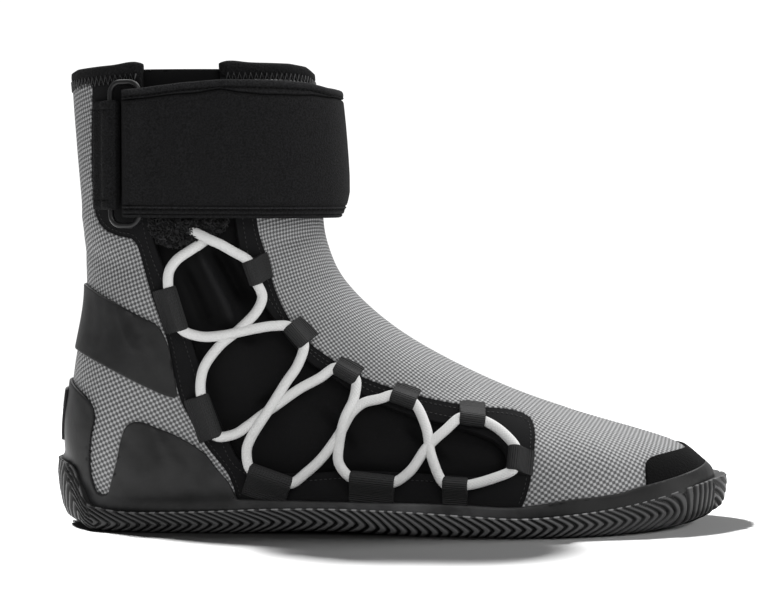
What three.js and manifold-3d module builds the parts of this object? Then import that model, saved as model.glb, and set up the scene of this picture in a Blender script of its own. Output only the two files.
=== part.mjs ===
// Sailing boot, right foot: a neoprene ankle boot with a textured skin, rubber rand and outsole,
// laced on its outer side through webbing loops and closed by a strap through a ring.
// Millimetres, +Z up, toe to +X, outer (lateral) side to -Y. The finished part stands on Z = 0.
import * as THREE from 'three';
import { mergeVertices } from 'three/addons/utils/BufferGeometryUtils.js';
import Module from 'manifold-3d';

const wasm = await Module();
wasm.setup();

// Driving dimensions of the boot
const LENGTH = 285;
const BALL_WIDTH = 92;
const SHAFT_WIDTH = 72;
const INSTEP_HEIGHT = 100;
const SHAFT_RISE = 100;
const COLLAR_DROP = 7;
const COLLAR_ROUND = 12;
const WALL = 3;
const SKIN = 1.2;
const GAP = 0.3;

// Rubber and trim
const RUBBER = 1.2;
const HEEL_BAND_THICKNESS = 1;
const EYESTAY_THICKNESS = 0.7;
const TONGUE_THICKNESS = 2;
const TONGUE_OVERLAP = 9;
const BINDING_WIDTH = 7;
const BINDING_THICKNESS = 0.8;
const INSOLE_THICKNESS = 3;
const LASTING_FLANGE = 14;
const TAB_WIDTH = 20;

// Outsole
const RIB_PITCH = 7;
const RIB_DEPTH = 0.9;
const CHEVRON_LEAN = 1.6;
const GROOVE_WIDTH = 2.2;
const GROOVE_DEPTH = 1.5;
const GROOVE_PITCH = 13;

// Lacing and strap
const LACE_DIAMETER = 4.2;
const LACE_SIDES = 8;
const LOOP_WALL = 0.9;
const LOOP_CLEARANCE = 0.3;
const STRAP_HEIGHT = 54;
const STRAP_THICKNESS = 3.4;
const STRAP_FRONT_STANDOFF = 8.5;
const RING_HEIGHT = 61;
const RING_WIDTH = 15;
const RING_BAR = 2.4;
const ANCHOR_HEIGHT = 49;
const ANCHOR_THICKNESS = 1.8;
const KEEPER_THICKNESS = 4.6;

// Fineness of the faceted surfaces
const SECTION_COUNT = 20;
const HALF_RING = 8;
const SECTION_STEPS = 48;

const MATERIALS = {
  skin: { color: 0x8f9092, roughness: 0.55, metalness: 0 },
  neoprene: { color: 0x1b1b1c, roughness: 0.9, metalness: 0 },
  rubber: { color: 0x2a2b2c, roughness: 0.5, metalness: 0 },
  sole: { color: 0x303132, roughness: 0.65, metalness: 0 },
  webbing: { color: 0x29292a, roughness: 0.85, metalness: 0 },
  lace: { color: 0xe6e6e4, roughness: 0.8, metalness: 0 },
  plastic: { color: 0x232324, roughness: 0.35, metalness: 0 },
};

// A height share runs from 0 on the floor to 1 at the instep and to 2 at the top of the shaft.
const height = (share) => (share <= 1
  ? share * INSTEP_HEIGHT
  : INSTEP_HEIGHT + (share - 1) * SHAFT_RISE);
const COLLAR_Z = height(2) - COLLAR_DROP;

// Sections of the form, toe to collar. Each lies between a top point and a low point (under the
// foot, then up the heel and the back of the shaft). x columns are shares of LENGTH, h columns
// height shares, side columns shares of the width, widest the place of the widest line, and
// low and high the squareness below and above it.
const SECTION_COLUMNS = ['topX', 'topH', 'lowX', 'lowH', 'outer', 'inner', 'ridge', 'widest', 'low', 'high'];
const FOOT_SECTIONS = [
  [0.973, 0.245, 0.970, 0.160, 0.060, 0.168, 0.054, 0.45, 2.2, 2.2],
  [0.958, 0.288, 0.954, 0.100, 0.174, 0.239, 0.049, 0.40, 2.6, 2.3],
  [0.926, 0.333, 0.923, 0.073, 0.293, 0.326, 0.043, 0.34, 3.2, 2.3],
  [0.870, 0.384, 0.863, 0.060, 0.408, 0.413, 0.033, 0.30, 4.0, 2.3],
  [0.779, 0.460, 0.768, 0.056, 0.500, 0.462, 0.027, 0.27, 4.6, 2.2],
  [0.684, 0.554, 0.670, 0.056, 0.522, 0.473, 0.027, 0.26, 5.0, 2.1],
  [0.593, 0.672, 0.568, 0.056, 0.489, 0.435, 0.027, 0.25, 5.0, 2.05],
  [0.516, 0.798, 0.470, 0.056, 0.446, 0.402, 0.022, 0.25, 5.0, 2.05],
  [0.458, 0.930, 0.365, 0.056, 0.408, 0.380, 0.016, 0.26, 4.8, 2.1],
];
const SHAFT_SECTIONS = [
  [0.419, 1.060, 0.253, 0.056, 0.493, 0.472, 0.014, 0.30, 4.4, 2.2],
  [0.399, 1.200, 0.140, 0.058, 0.479, 0.465, 0, 0.36, 4.0, 2.2],
  [0.392, 1.340, 0.049, 0.090, 0.472, 0.465, 0, 0.42, 3.0, 2.2],
  [0.389, 1.470, 0.022, 0.340, 0.479, 0.472, 0, 0.46, 2.6, 2.2],
  [0.387, 1.590, 0.031, 0.660, 0.486, 0.479, 0, 0.50, 2.4, 2.2],
  [0.384, 1.700, 0.049, 0.970, 0.493, 0.486, 0, 0.50, 2.2, 2.2],
  [0.382, 1.800, 0.045, 1.270, 0.5, 0.493, 0, 0.50, 2.2, 2.2],
  [0.380, 1.900, 0.036, 1.600, 0.5, 0.5, 0, 0.50, 2.2, 2.2],
  [0.378, 2.000, 0.030, 1.860, 0.5, 0.5, 0, 0.50, 2.2, 2.2],
  [0.377, 2.100, 0.029, 2.100, 0.5, 0.5, 0, 0.50, 2.2, 2.2],
];

// Turns a table row into a section in millimetres
function sectionFrom(row, width) {
  const s = Object.fromEntries(SECTION_COLUMNS.map((name, i) => [name, row[i]]));
  return {
    topX: s.topX * LENGTH,
    topZ: height(s.topH),
    lowX: s.lowX * LENGTH,
    lowZ: height(s.lowH),
    outer: s.outer * width,
    inner: s.inner * width,
    ridge: s.ridge * width,
    widest: s.widest,
    low: s.low,
    high: s.high,
  };
}
const SECTIONS = [
  ...FOOT_SECTIONS.map((row) => sectionFrom(row, BALL_WIDTH)),
  ...SHAFT_SECTIONS.map((row) => sectionFrom(row, SHAFT_WIDTH)),
];

// Catmull-Rom value of one column at a place along the sections
function sectionAt(place) {
  const last = SECTIONS.length - 1;
  const i = Math.min(Math.floor(place), last - 1);
  const t = place - i;
  const result = {};
  for (const key of Object.keys(SECTIONS[0])) {
    const p1 = SECTIONS[i][key];
    const p2 = SECTIONS[i + 1][key];
    const p0 = i > 0 ? SECTIONS[i - 1][key] : 2 * p1 - p2;
    const p3 = i + 2 <= last ? SECTIONS[i + 2][key] : 2 * p2 - p1;
    result[key] = 0.5 * (2 * p1 + (p2 - p0) * t + (2 * p0 - 5 * p1 + 4 * p2 - p3) * t * t
      + (3 * p1 - p0 - 3 * p2 + p3) * t * t * t);
  }
  return result;
}

// Point of a section at an angle from its top (0) to its low point (PI) on one side
function sectionPoint(s, angle, side) {
  const half = side < 0 ? s.outer + s.ridge : s.inner - s.ridge;
  const sine = Math.abs(Math.sin(angle));
  const cosine = Math.abs(Math.cos(angle));
  const upper = angle <= Math.PI / 2;
  const power = 2 / (upper ? s.high : s.low);
  const share = upper
    ? s.widest + (1 - s.widest) * cosine ** power
    : s.widest * (1 - cosine ** power);
  return new THREE.Vector3(
    s.lowX + (s.topX - s.lowX) * share,
    s.ridge + side * half * sine ** power,
    s.lowZ + (s.topZ - s.lowZ) * share,
  );
}

// Half of a section as evenly spaced points from the top to the low point
function halfSection(s, side) {
  const fine = [];
  for (let i = 0; i <= SECTION_STEPS; i += 1) {
    fine.push(sectionPoint(s, (Math.PI * i) / SECTION_STEPS, side));
  }
  const run = [0];
  for (let i = 1; i < fine.length; i += 1) run.push(run[i - 1] + fine[i].distanceTo(fine[i - 1]));
  const points = [];
  let k = 0;
  for (let j = 0; j <= HALF_RING; j += 1) {
    const want = (run[run.length - 1] * j) / HALF_RING;
    while (k < run.length - 2 && run[k + 1] < want) k += 1;
    const share = (want - run[k]) / (run[k + 1] - run[k]);
    points.push(fine[k].clone().lerp(fine[k + 1], THREE.MathUtils.clamp(share, 0, 1)));
  }
  return points;
}

// The form's grid: rings of points round each section, toe to collar, with outward normals
function formRings() {
  const rings = [];
  for (let i = 0; i < SECTION_COUNT; i += 1) {
    const s = sectionAt(((SECTIONS.length - 1) * i) / (SECTION_COUNT - 1));
    const outer = halfSection(s, -1);
    const inner = halfSection(s, 1).reverse();
    rings.push([...outer, ...inner.slice(1, -1)]);
  }
  return rings;
}
const RINGS = formRings();
const AROUND = RINGS[0].length;
const TOE_POLE = RINGS[0]
  .reduce((sum, p) => sum.add(p), new THREE.Vector3())
  .divideScalar(AROUND)
  .add(new THREE.Vector3(0.004 * LENGTH, 0, 0));

function ringNormal(i, j) {
  const before = i > 0 ? RINGS[i - 1][j] : TOE_POLE;
  const after = RINGS[Math.min(i + 1, RINGS.length - 1)][j];
  const along = after.clone().sub(before);
  const around = RINGS[i][(j + 1) % AROUND].clone().sub(RINGS[i][(j + AROUND - 1) % AROUND]);
  return along.cross(around).normalize();
}
const NORMALS = RINGS.map((ring, i) => ring.map((_, j) => ringNormal(i, j)));

// An inward offset is held back where a toe section is too small for it.
const ringRoom = RINGS.map((ring) => 0.45 * ring[0].distanceTo(ring[HALF_RING]));

function meshSolid(positions, indices) {
  const mesh = new wasm.Mesh({
    numProp: 3,
    vertProperties: new Float32Array(positions),
    triVerts: new Uint32Array(indices),
  });
  return new wasm.Manifold(mesh);
}

// The closed form, grown or shrunk by an offset
function form(offset) {
  const positions = [];
  const indices = [];
  RINGS.forEach((ring, i) => ring.forEach((p, j) => {
    const step = Math.max(offset, -ringRoom[i]);
    const q = p.clone().addScaledVector(NORMALS[i][j], step);
    positions.push(q.x, q.y, q.z);
  }));
  const toe = positions.length / 3;
  positions.push(TOE_POLE.x + Math.max(offset, -ringRoom[0]), TOE_POLE.y, TOE_POLE.z);
  const top = RINGS[RINGS.length - 1];
  const collar = toe + 1;
  positions.push((top[0].x + top[HALF_RING].x) / 2, 0, (top[0].z + top[HALF_RING].z) / 2);
  const lastRing = (RINGS.length - 1) * AROUND;
  for (let j = 0; j < AROUND; j += 1) {
    const k = (j + 1) % AROUND;
    indices.push(toe, j, k);
    for (let i = 0; i < RINGS.length - 1; i += 1) {
      const a = i * AROUND;
      const b = a + AROUND;
      indices.push(a + j, b + j, a + k, a + k, b + j, b + k);
    }
    indices.push(lastRing + j, collar, lastRing + k);
  }
  return meshSolid(positions, indices);
}

const forms = new Map();
function formAt(offset) {
  const key = offset.toFixed(3);
  if (!forms.has(key)) forms.set(key, form(offset));
  return forms.get(key);
}
const shell = (low, high) => formAt(high).subtract(formAt(low));

function solidFrom(geometry) {
  const plain = geometry.clone();
  plain.deleteAttribute('normal');
  plain.deleteAttribute('uv');
  const merged = mergeVertices(plain, 1e-4);
  return meshSolid(merged.attributes.position.array, merged.index.array);
}

// Places given as shares of the length and height shares, in the side view
const spot = ([x, h]) => new THREE.Vector2(x * LENGTH, height(h));

// A side-view outline run through one half of the boot (side -1 outer, 1 inner) or both (0)
function prism(points, side) {
  const reach = BALL_WIDTH;
  const depth = side === 0 ? 2 * reach : reach;
  const geometry = new THREE.ExtrudeGeometry(new THREE.Shape(points), {
    depth,
    bevelEnabled: false,
    steps: 1,
  });
  geometry.rotateX(Math.PI / 2);
  if (side >= 0) geometry.translate(0, reach, 0);
  return solidFrom(geometry);
}

// Moves each corner of an outline outwards by a distance
function grow(points, distance) {
  const turn = THREE.ShapeUtils.isClockWise(points) ? -1 : 1;
  return points.map((p, i) => {
    const before = points[(i + points.length - 1) % points.length];
    const after = points[(i + 1) % points.length];
    const a = p.clone().sub(before).normalize();
    const b = after.clone().sub(p).normalize();
    const normal = new THREE.Vector2(a.y + b.y, -(a.x + b.x)).normalize().multiplyScalar(turn);
    return p.clone().addScaledVector(normal, distance);
  });
}

// The boot below its collar line. Its two corners are rounded: steps from the shaft's front and
// back lines and down from the collar, as shares of COLLAR_ROUND.
const FRONT_CORNER = [[0.5, 1], [0.17, 0.42], [-0.25, 0.1], [-0.83, 0]];
const BACK_CORNER = [[0.67, 0], [0.12, 0.1], [-0.17, 0.42], [-0.33, 1]];
function belowCollar(drop) {
  const z = COLLAR_Z - drop;
  const end = SECTIONS[SECTIONS.length - 1];
  const far = 0.2 * LENGTH;
  const corner = (x, steps) => steps
    .map(([out, down]) => [x + out * COLLAR_ROUND, z - down * COLLAR_ROUND]);
  return prism([
    [-far, -far],
    [LENGTH + far, -far],
    [LENGTH + far, z - 2 * COLLAR_ROUND],
    ...corner(end.topX, FRONT_CORNER),
    ...corner(end.lowX, BACK_CORNER),
    [-far, z - 2 * COLLAR_ROUND],
  ].map(([x, y]) => new THREE.Vector2(x, y)), 0);
}

// Throat opening of the outer side: its rear edge down to the toe end, then its front edge up
const THROAT = [
  [0.139, 2.2], [0.139, 1.86], [0.151, 1.273], [0.166, 1.121], [0.182, 1.019], [0.205, 0.83],
  [0.233, 0.586], [0.259, 0.407], [0.279, 0.3], [0.304, 0.262], [0.358, 0.247],
  [0.441, 0.262], [0.575, 0.252], [0.625, 0.246], [0.657, 0.262], [0.664, 0.31],
  [0.657, 0.37], [0.629, 0.414], [0.593, 0.446], [0.528, 0.492], [0.44, 0.597],
  [0.411, 0.653], [0.384, 0.699], [0.352, 0.797], [0.326, 0.896], [0.297, 1.025], [0.284, 1.12],
  [0.277, 1.231], [0.254, 1.86], [0.254, 2.2],
].map(spot);

// Outer edge of the black eyestay: rear edge, along the rand, round the toe end and up the front
const EYESTAY = [
  [0.07, 2.2], [0.069, 1.322], [0.083, 1.256], [0.105, 1.228], [0.127, 1.211], [0.143, 1.089],
  [0.153, 0.99], [0.175, 0.798], [0.193, 0.562], [0.207, 0.481], [0.232, 0.36], [0.264, 0.241],
  [0.276, 0.165], [0.433, 0.157], [0.685, 0.146], [0.694, 0.237], [0.701, 0.375],
  [0.7, 0.43], [0.692, 0.472], [0.67, 0.497], [0.612, 0.52], [0.54, 0.562], [0.46, 0.638],
  [0.409, 0.72], [0.361, 0.835], [0.329, 1.002], [0.319, 1.118], [0.304, 1.272], [0.301, 2.2],
].map(spot);

// Top edge of the rubber rand with its heel counter and the slot between the counter's lobes
const RAND_TOP = [
  [-0.05, 0.62], [0.025, 0.619], [0.043, 0.587], [0.059, 0.552], [0.068, 0.515], [0.07, 0.463],
  [0.066, 0.412], [0.063, 0.337], [0.063, 0.262], [0.066, 0.206], [0.072, 0.163], [0.079, 0.156],
  [0.088, 0.164], [0.093, 0.206], [0.102, 0.295], [0.109, 0.393], [0.116, 0.442], [0.126, 0.461],
  [0.142, 0.458], [0.157, 0.44], [0.184, 0.41], [0.213, 0.365], [0.231, 0.327], [0.246, 0.271],
  [0.264, 0.214], [0.276, 0.149], [0.433, 0.141], [0.575, 0.138], [0.681, 0.13], [0.751, 0.156],
  [0.821, 0.179], [0.864, 0.212], [0.905, 0.233], [0.957, 0.265], [1.05, 0.28],
].map(spot);

const HEEL_BAND = [
  [-0.05, 1.06], [0.045, 1.026], [0.082, 0.976], [0.114, 0.93], [0.141, 0.891], [0.16, 0.863],
  [0.175, 0.79], [0.191, 0.558], [0.171, 0.573], [0.145, 0.606], [0.105, 0.662], [0.064, 0.716],
  [0.034, 0.748], [-0.05, 0.78],
].map(spot);

const TOE_PATCH = [
  [0.866, 0.1], [0.866, 0.286], [0.871, 0.296], [0.9, 0.308], [0.935, 0.313], [1.05, 0.318],
  [1.05, 0.1],
].map(spot);

// Top edge of the outsole's ribbed side and the height of its tread, along the length
const SOLE_TOP = [
  [-0.05, 0.277], [0.012, 0.275], [0.029, 0.255], [0.038, 0.2], [0.052, 0.112], [0.08, 0.093],
  [0.11, 0.083], [0.166, 0.084], [0.256, 0.093], [0.305, 0.1], [0.408, 0.105], [0.511, 0.099],
  [0.579, 0.09], [0.661, 0.078], [0.701, 0.079], [0.75, 0.09], [0.82, 0.112], [0.856, 0.129],
  [0.893, 0.154], [0.932, 0.181], [0.961, 0.205], [0.976, 0.228], [1.05, 0.232],
].map(spot);
const TREAD = [
  [-0.05, 0.01], [0.035, 0], [0.27, 0], [0.36, 0.012], [0.44, 0.012], [0.53, 0], [0.82, 0],
  [0.86, 0.006], [0.9, 0.022], [0.94, 0.042], [0.98, 0.068], [1.05, 0.1],
].map(spot);

// Plan outline of the outsole, heel back, outer side, toe tip, inner side
const SOLE_OUTLINE = [
  [0, 0], [0.007, -0.125], [0.026, -0.235], [0.075, -0.345], [0.165, -0.397], [0.28, -0.424],
  [0.385, -0.451], [0.49, -0.495], [0.596, -0.543], [0.684, -0.568], [0.765, -0.55],
  [0.842, -0.478], [0.905, -0.38], [0.954, -0.255], [0.988, -0.1], [1, 0.055], [0.985, 0.195],
  [0.947, 0.315], [0.895, 0.408], [0.825, 0.473], [0.744, 0.508], [0.66, 0.516], [0.56, 0.473],
  [0.456, 0.424], [0.35, 0.397], [0.245, 0.386], [0.158, 0.38], [0.077, 0.337], [0.026, 0.228],
  [0.007, 0.12],
];
const soleEdge = new THREE.CatmullRomCurve3(
  SOLE_OUTLINE.map(([x, y]) => new THREE.Vector3(x * LENGTH, y * BALL_WIDTH, 0)),
  true,
  'centripetal',
);
const ribCount = Math.round(soleEdge.getLength() / RIB_PITCH);
const stations = 2 * ribCount;

// Height read off a side-view line at a place along the length
function lineHeight(line, x) {
  let i = 0;
  while (i < line.length - 2 && line[i + 1].x < x) i += 1;
  const t = THREE.MathUtils.clamp((x - line[i].x) / (line[i + 1].x - line[i].x), 0, 1);
  return THREE.MathUtils.lerp(line[i].y, line[i + 1].y, t);
}

// Point of the outsole's edge at a station, moved inwards by a distance
function edgePoint(station, inset) {
  const u = ((station / stations) % 1 + 1) % 1;
  const p = soleEdge.getPointAt(u);
  const t = soleEdge.getTangentAt(u);
  return new THREE.Vector3(p.x - t.y * inset, p.y + t.x * inset, 0);
}

// Rows of the side wall: share of the wall's height, inset as a share of it, and ribbed or plain
const SOLE_ROWS = [
  { share: 0, inset: 0.42, rib: 0, lean: 0 },
  { share: 0.16, inset: 0.15, rib: 1, lean: 0 },
  { share: 0.55, inset: 0.05, rib: 1, lean: 1 },
  { share: 1, inset: 0, rib: 1, lean: 0 },
];

function soleBody() {
  const positions = [];
  const indices = [];
  const rows = SOLE_ROWS.map((row) => {
    const ring = [];
    for (let i = 0; i < stations; i += 1) {
      const station = i + row.lean * CHEVRON_LEAN;
      const x = edgePoint(station, 0).x;
      const low = lineHeight(TREAD, x);
      const rise = lineHeight(SOLE_TOP, x) - low;
      const cut = row.rib && i % 2 ? RIB_DEPTH : 0;
      const p = edgePoint(station, row.inset * rise + cut);
      ring.push(positions.length / 3);
      positions.push(p.x, p.y, low + row.share * rise);
    }
    return ring;
  });
  for (let r = 0; r < rows.length - 1; r += 1) {
    for (let i = 0; i < stations; i += 1) {
      const k = (i + 1) % stations;
      const [a, b, c, d] = [rows[r][i], rows[r][k], rows[r + 1][i], rows[r + 1][k]];
      indices.push(a, b, c, b, d, c);
    }
  }
  zipAcross(rows[0], positions, indices, true);
  zipAcross(rows[rows.length - 1], positions, indices, false);
  return meshSolid(positions, indices);
}

// Closes a ring with strips that run straight across it, from its heel to its toe
function zipAcross(ring, positions, indices, downwards) {
  const xOf = (v) => positions[3 * v];
  let heel = 0;
  let toe = 0;
  ring.forEach((v, i) => {
    if (xOf(v) < xOf(ring[heel])) heel = i;
    if (xOf(v) > xOf(ring[toe])) toe = i;
  });
  const n = ring.length;
  let a = heel;
  let b = heel;
  const push = (p, q, r) => (downwards ? indices.push(p, r, q) : indices.push(p, q, r));
  while (a !== toe || b !== toe) {
    const nextA = (a + 1) % n;
    const nextB = (b + n - 1) % n;
    const takeA = b === toe || (a !== toe && xOf(ring[nextA]) <= xOf(ring[nextB]));
    if (takeA) {
      if (a !== b && nextA !== b) push(ring[a], ring[nextA], ring[b]);
      a = nextA;
    } else {
      if (a !== b && nextB !== a) push(ring[a], ring[nextB], ring[b]);
      b = nextB;
    }
  }
}

// A plan outline run upwards between two heights
function column(points, low, high) {
  const geometry = new THREE.ExtrudeGeometry(new THREE.Shape(points), {
    depth: high - low,
    bevelEnabled: false,
    steps: 1,
  });
  geometry.translate(0, 0, low);
  return solidFrom(geometry);
}

function lastingHole(inset, low, high) {
  const points = [];
  const corners = 36;
  for (let i = 0; i < corners; i += 1) {
    const p = edgePoint((i * stations) / corners, inset);
    points.push(new THREE.Vector2(p.x, p.y));
  }
  return column(points, low, high);
}

function geometryOf(solid) {
  const data = solid.getMesh();
  const geometry = new THREE.BufferGeometry();
  geometry.setAttribute('position', new THREE.BufferAttribute(new Float32Array(data.vertProperties), 3));
  geometry.setIndex(new THREE.BufferAttribute(new Uint32Array(data.triVerts), 1));
  geometry.computeVertexNormals();
  return geometry;
}

const group = new THREE.Group();
function addPiece(name, solid, look) {
  const mesh = new THREE.Mesh(geometryOf(solid), new THREE.MeshStandardMaterial(look));
  mesh.name = name;
  group.add(mesh);
}

// Upper: neoprene wall with the raised textured skin, open at collar, throat and underneath
const throatCut = prism(THROAT, -1);
const skinTop = belowCollar(BINDING_WIDTH + GAP);
const skinRaise = formAt(SKIN).intersect(skinTop).subtract(prism(EYESTAY, -1));
const holeTop = height(0.14);
const upper = formAt(0)
  .intersect(belowCollar(0))
  .add(skinRaise)
  .subtract(formAt(-WALL))
  .subtract(throatCut)
  .subtract(lastingHole(LASTING_FLANGE, -WALL, holeTop));
addPiece('upper', upper, MATERIALS.skin);

// Eyestay: black U round the throat, set into the step of the skin
const eyestay = shell(GAP, GAP + EYESTAY_THICKNESS)
  .intersect(prism(grow(EYESTAY, -GAP), -1))
  .intersect(skinTop)
  .subtract(throatCut);
addPiece('eyestay', eyestay, MATERIALS.neoprene);

// Collar binding: a strip folded over the top edge
const bindingOuter = GAP + BINDING_THICKNESS;
const binding = shell(-WALL - bindingOuter, bindingOuter)
  .intersect(belowCollar(-bindingOuter))
  .subtract(belowCollar(BINDING_WIDTH))
  .subtract(shell(-WALL - GAP, GAP).intersect(belowCollar(-GAP)))
  .subtract(throatCut);
addPiece('collar_binding', binding, MATERIALS.neoprene);

// Gusset tongue behind the throat, sewn to its edges
const bindingRoom = shell(-WALL - bindingOuter - GAP, 0)
  .subtract(belowCollar(BINDING_WIDTH + GAP))
  .subtract(prism(grow(THROAT, -GAP), -1));
const tongueTop = 1.915;
const tongueOutline = grow(THROAT, TONGUE_OVERLAP);
const tongueOuter = -WALL - GAP;
const tongue = shell(tongueOuter - TONGUE_THICKNESS, tongueOuter)
  .intersect(prism(tongueOutline, -1))
  .intersect(belowCollar(COLLAR_Z - height(tongueTop)))
  .subtract(bindingRoom);
addPiece('tongue', tongue, MATERIALS.neoprene);

// Insole: lies on the lasting flange and fills the hole inside it
const liner = formAt(-WALL - GAP);
const flatFoot = FOOT_SECTIONS.length - 1;
const insoleTop = SECTIONS[flatFoot].lowZ + WALL + GAP + INSOLE_THICKNESS;
const insoleZone = column([
  new THREE.Vector2(-LENGTH, -LENGTH),
  new THREE.Vector2(2 * LENGTH, -LENGTH),
  new THREE.Vector2(2 * LENGTH, LENGTH),
  new THREE.Vector2(-LENGTH, LENGTH),
], -WALL, insoleTop);
const plug = formAt(SKIN).intersect(lastingHole(LASTING_FLANGE + GAP, -WALL, INSTEP_HEIGHT / 2));
const insole = liner.add(plug).intersect(insoleZone);
addPiece('insole', insole, MATERIALS.neoprene);

// Outsole: tray round the foot with chevron ribs on its side and cross grooves in its tread
function treadGroove(x) {
  const box = new THREE.BoxGeometry(GROOVE_WIDTH, 2 * BALL_WIDTH, 2 * GROOVE_DEPTH);
  box.translate(x, 0, 0);
  return solidFrom(box);
}
const soleZone = prism([
  ...SOLE_TOP,
  new THREE.Vector2(1.2 * LENGTH, -LENGTH),
  new THREE.Vector2(-0.2 * LENGTH, -LENGTH),
], 0);
let sole = soleBody().intersect(soleZone).subtract(formAt(SKIN + GAP));
const treadField = lastingHole(LASTING_FLANGE - 4, -WALL, INSTEP_HEIGHT);
const grooveStarts = [0.12 * LENGTH, 0.58 * LENGTH];
const groovesEach = 4;
for (const start of grooveStarts) {
  for (let i = 0; i < groovesEach; i += 1) {
    sole = sole.subtract(treadGroove(start + i * GROOVE_PITCH).intersect(treadField));
  }
}
addPiece('outsole', sole, MATERIALS.sole);

// Rand and heel counter: one rubber strip above the outsole's ribbed side
const randZone = [
  ...SOLE_TOP.map((p) => new THREE.Vector2(p.x, p.y + GAP)),
  ...[...RAND_TOP].reverse(),
];
const randLow = SKIN + GAP;
const rand = shell(randLow, randLow + RUBBER).intersect(prism(randZone, 0));
addPiece('rand', rand, MATERIALS.rubber);

// Heel band: rubber strap moulded over the ankle from the back to the eyestay
const heelBand = shell(randLow, randLow + HEEL_BAND_THICKNESS).intersect(prism(HEEL_BAND, 0));
addPiece('heel_band', heelBand, MATERIALS.rubber);

// Toe patch above the rand
const randCap = prism([
  ...RAND_TOP.map((p) => new THREE.Vector2(p.x, p.y + GAP)),
  new THREE.Vector2(1.2 * LENGTH, -LENGTH),
  new THREE.Vector2(-0.2 * LENGTH, -LENGTH),
], 0);
const toePatch = shell(randLow, randLow + RUBBER).intersect(prism(TOE_PATCH, 0)).subtract(randCap);
addPiece('toe_patch', toePatch, MATERIALS.rubber);

// Heel tab: thin plain plate on the counter
const tabLow = randLow + RUBBER + GAP;
const [tabFoot, tabHead] = [height(0.362), height(0.575)];
const tabZone = new THREE.BoxGeometry(0.1 * LENGTH, TAB_WIDTH, tabHead - tabFoot);
tabZone.translate(0, 0, (tabHead + tabFoot) / 2);
const heelTab = shell(tabLow, tabLow + RUBBER).intersect(solidFrom(tabZone));
addPiece('heel_tab', heelTab, MATERIALS.rubber);

// Spots on the outer side of the form, found by a ray across the boot
const castMesh = new THREE.Mesh(
  geometryOf(formAt(0)),
  new THREE.MeshBasicMaterial({ side: THREE.DoubleSide }),
);
function hit(origin, direction) {
  const found = new THREE.Raycaster(origin, direction).intersectObject(castMesh);
  return { point: found[0].point, normal: found[0].face.normal.clone() };
}
function onOuterSide([x, h], offset) {
  const origin = new THREE.Vector3(x * LENGTH, -2 * BALL_WIDTH, height(h));
  const { point, normal } = hit(origin, new THREE.Vector3(0, 1, 0));
  return point.addScaledVector(normal, offset);
}

// Lace loops: webbing folded round the lace and sewn to the eyestay. inner and outer are the
// middles of the fold and of the sewn end in the side view, and width runs along the lace.
const LACE_LOOPS = [
  { name: 'lace_loop_1', inner: [0.290, 1.076], outer: [0.325, 1.100], width: 10.6 },
  { name: 'lace_loop_2', inner: [0.351, 0.790], outer: [0.378, 0.853], width: 10.6 },
  { name: 'lace_loop_3', inner: [0.426, 0.624], outer: [0.441, 0.694], width: 10.6 },
  { name: 'lace_loop_4', inner: [0.511, 0.514], outer: [0.523, 0.594], width: 10.6 },
  { name: 'lace_loop_5', inner: [0.612, 0.429], outer: [0.616, 0.528], width: 10.6 },
  { name: 'lace_loop_6', inner: [0.663, 0.314], outer: [0.697, 0.302], width: 10.6 },
  { name: 'lace_loop_7', inner: [0.592, 0.251], outer: [0.591, 0.170], width: 10.2 },
  { name: 'lace_loop_8', inner: [0.474, 0.263], outer: [0.471, 0.176], width: 18.5 },
  { name: 'lace_loop_9', inner: [0.329, 0.268], outer: [0.318, 0.200], width: 18.5 },
  { name: 'lace_loop_10', inner: [0.246, 0.498], outer: [0.217, 0.468], width: 18.5 },
  { name: 'lace_loop_11', inner: [0.194, 0.928], outer: [0.166, 0.893], width: 18.5 },
];
const laceRadius = LACE_DIAMETER / 2;
const tunnelRadius = laceRadius + LOOP_CLEARANCE;
const foldRadius = tunnelRadius + LOOP_WALL;
const loopSeat = SKIN + GAP;
const tunnelHeight = loopSeat + foldRadius;
const loopGround = formAt(loopSeat);

// Frame of a loop: along runs from the fold to the sewn end, out away from the boot
function loopFrame(loop) {
  const fold = onOuterSide(loop.inner, 0);
  const end = onOuterSide(loop.outer, 0);
  const along = end.clone().sub(fold).normalize();
  const across = new THREE.Vector3();
  const middle = onOuterSide(loop.inner.map((v, i) => (v + loop.outer[i]) / 2), 0);
  const toward = onOuterSide(loop.inner.map((v, i) => (v + loop.outer[i]) / 2), 1);
  const out = toward.sub(middle);
  across.crossVectors(along, out).normalize();
  out.crossVectors(across, along).normalize();
  const reach = end.distanceTo(fold);
  const centre = fold.clone().addScaledVector(along, foldRadius).addScaledVector(out, tunnelHeight);
  return { along, out, across, centre, reach };
}

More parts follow.
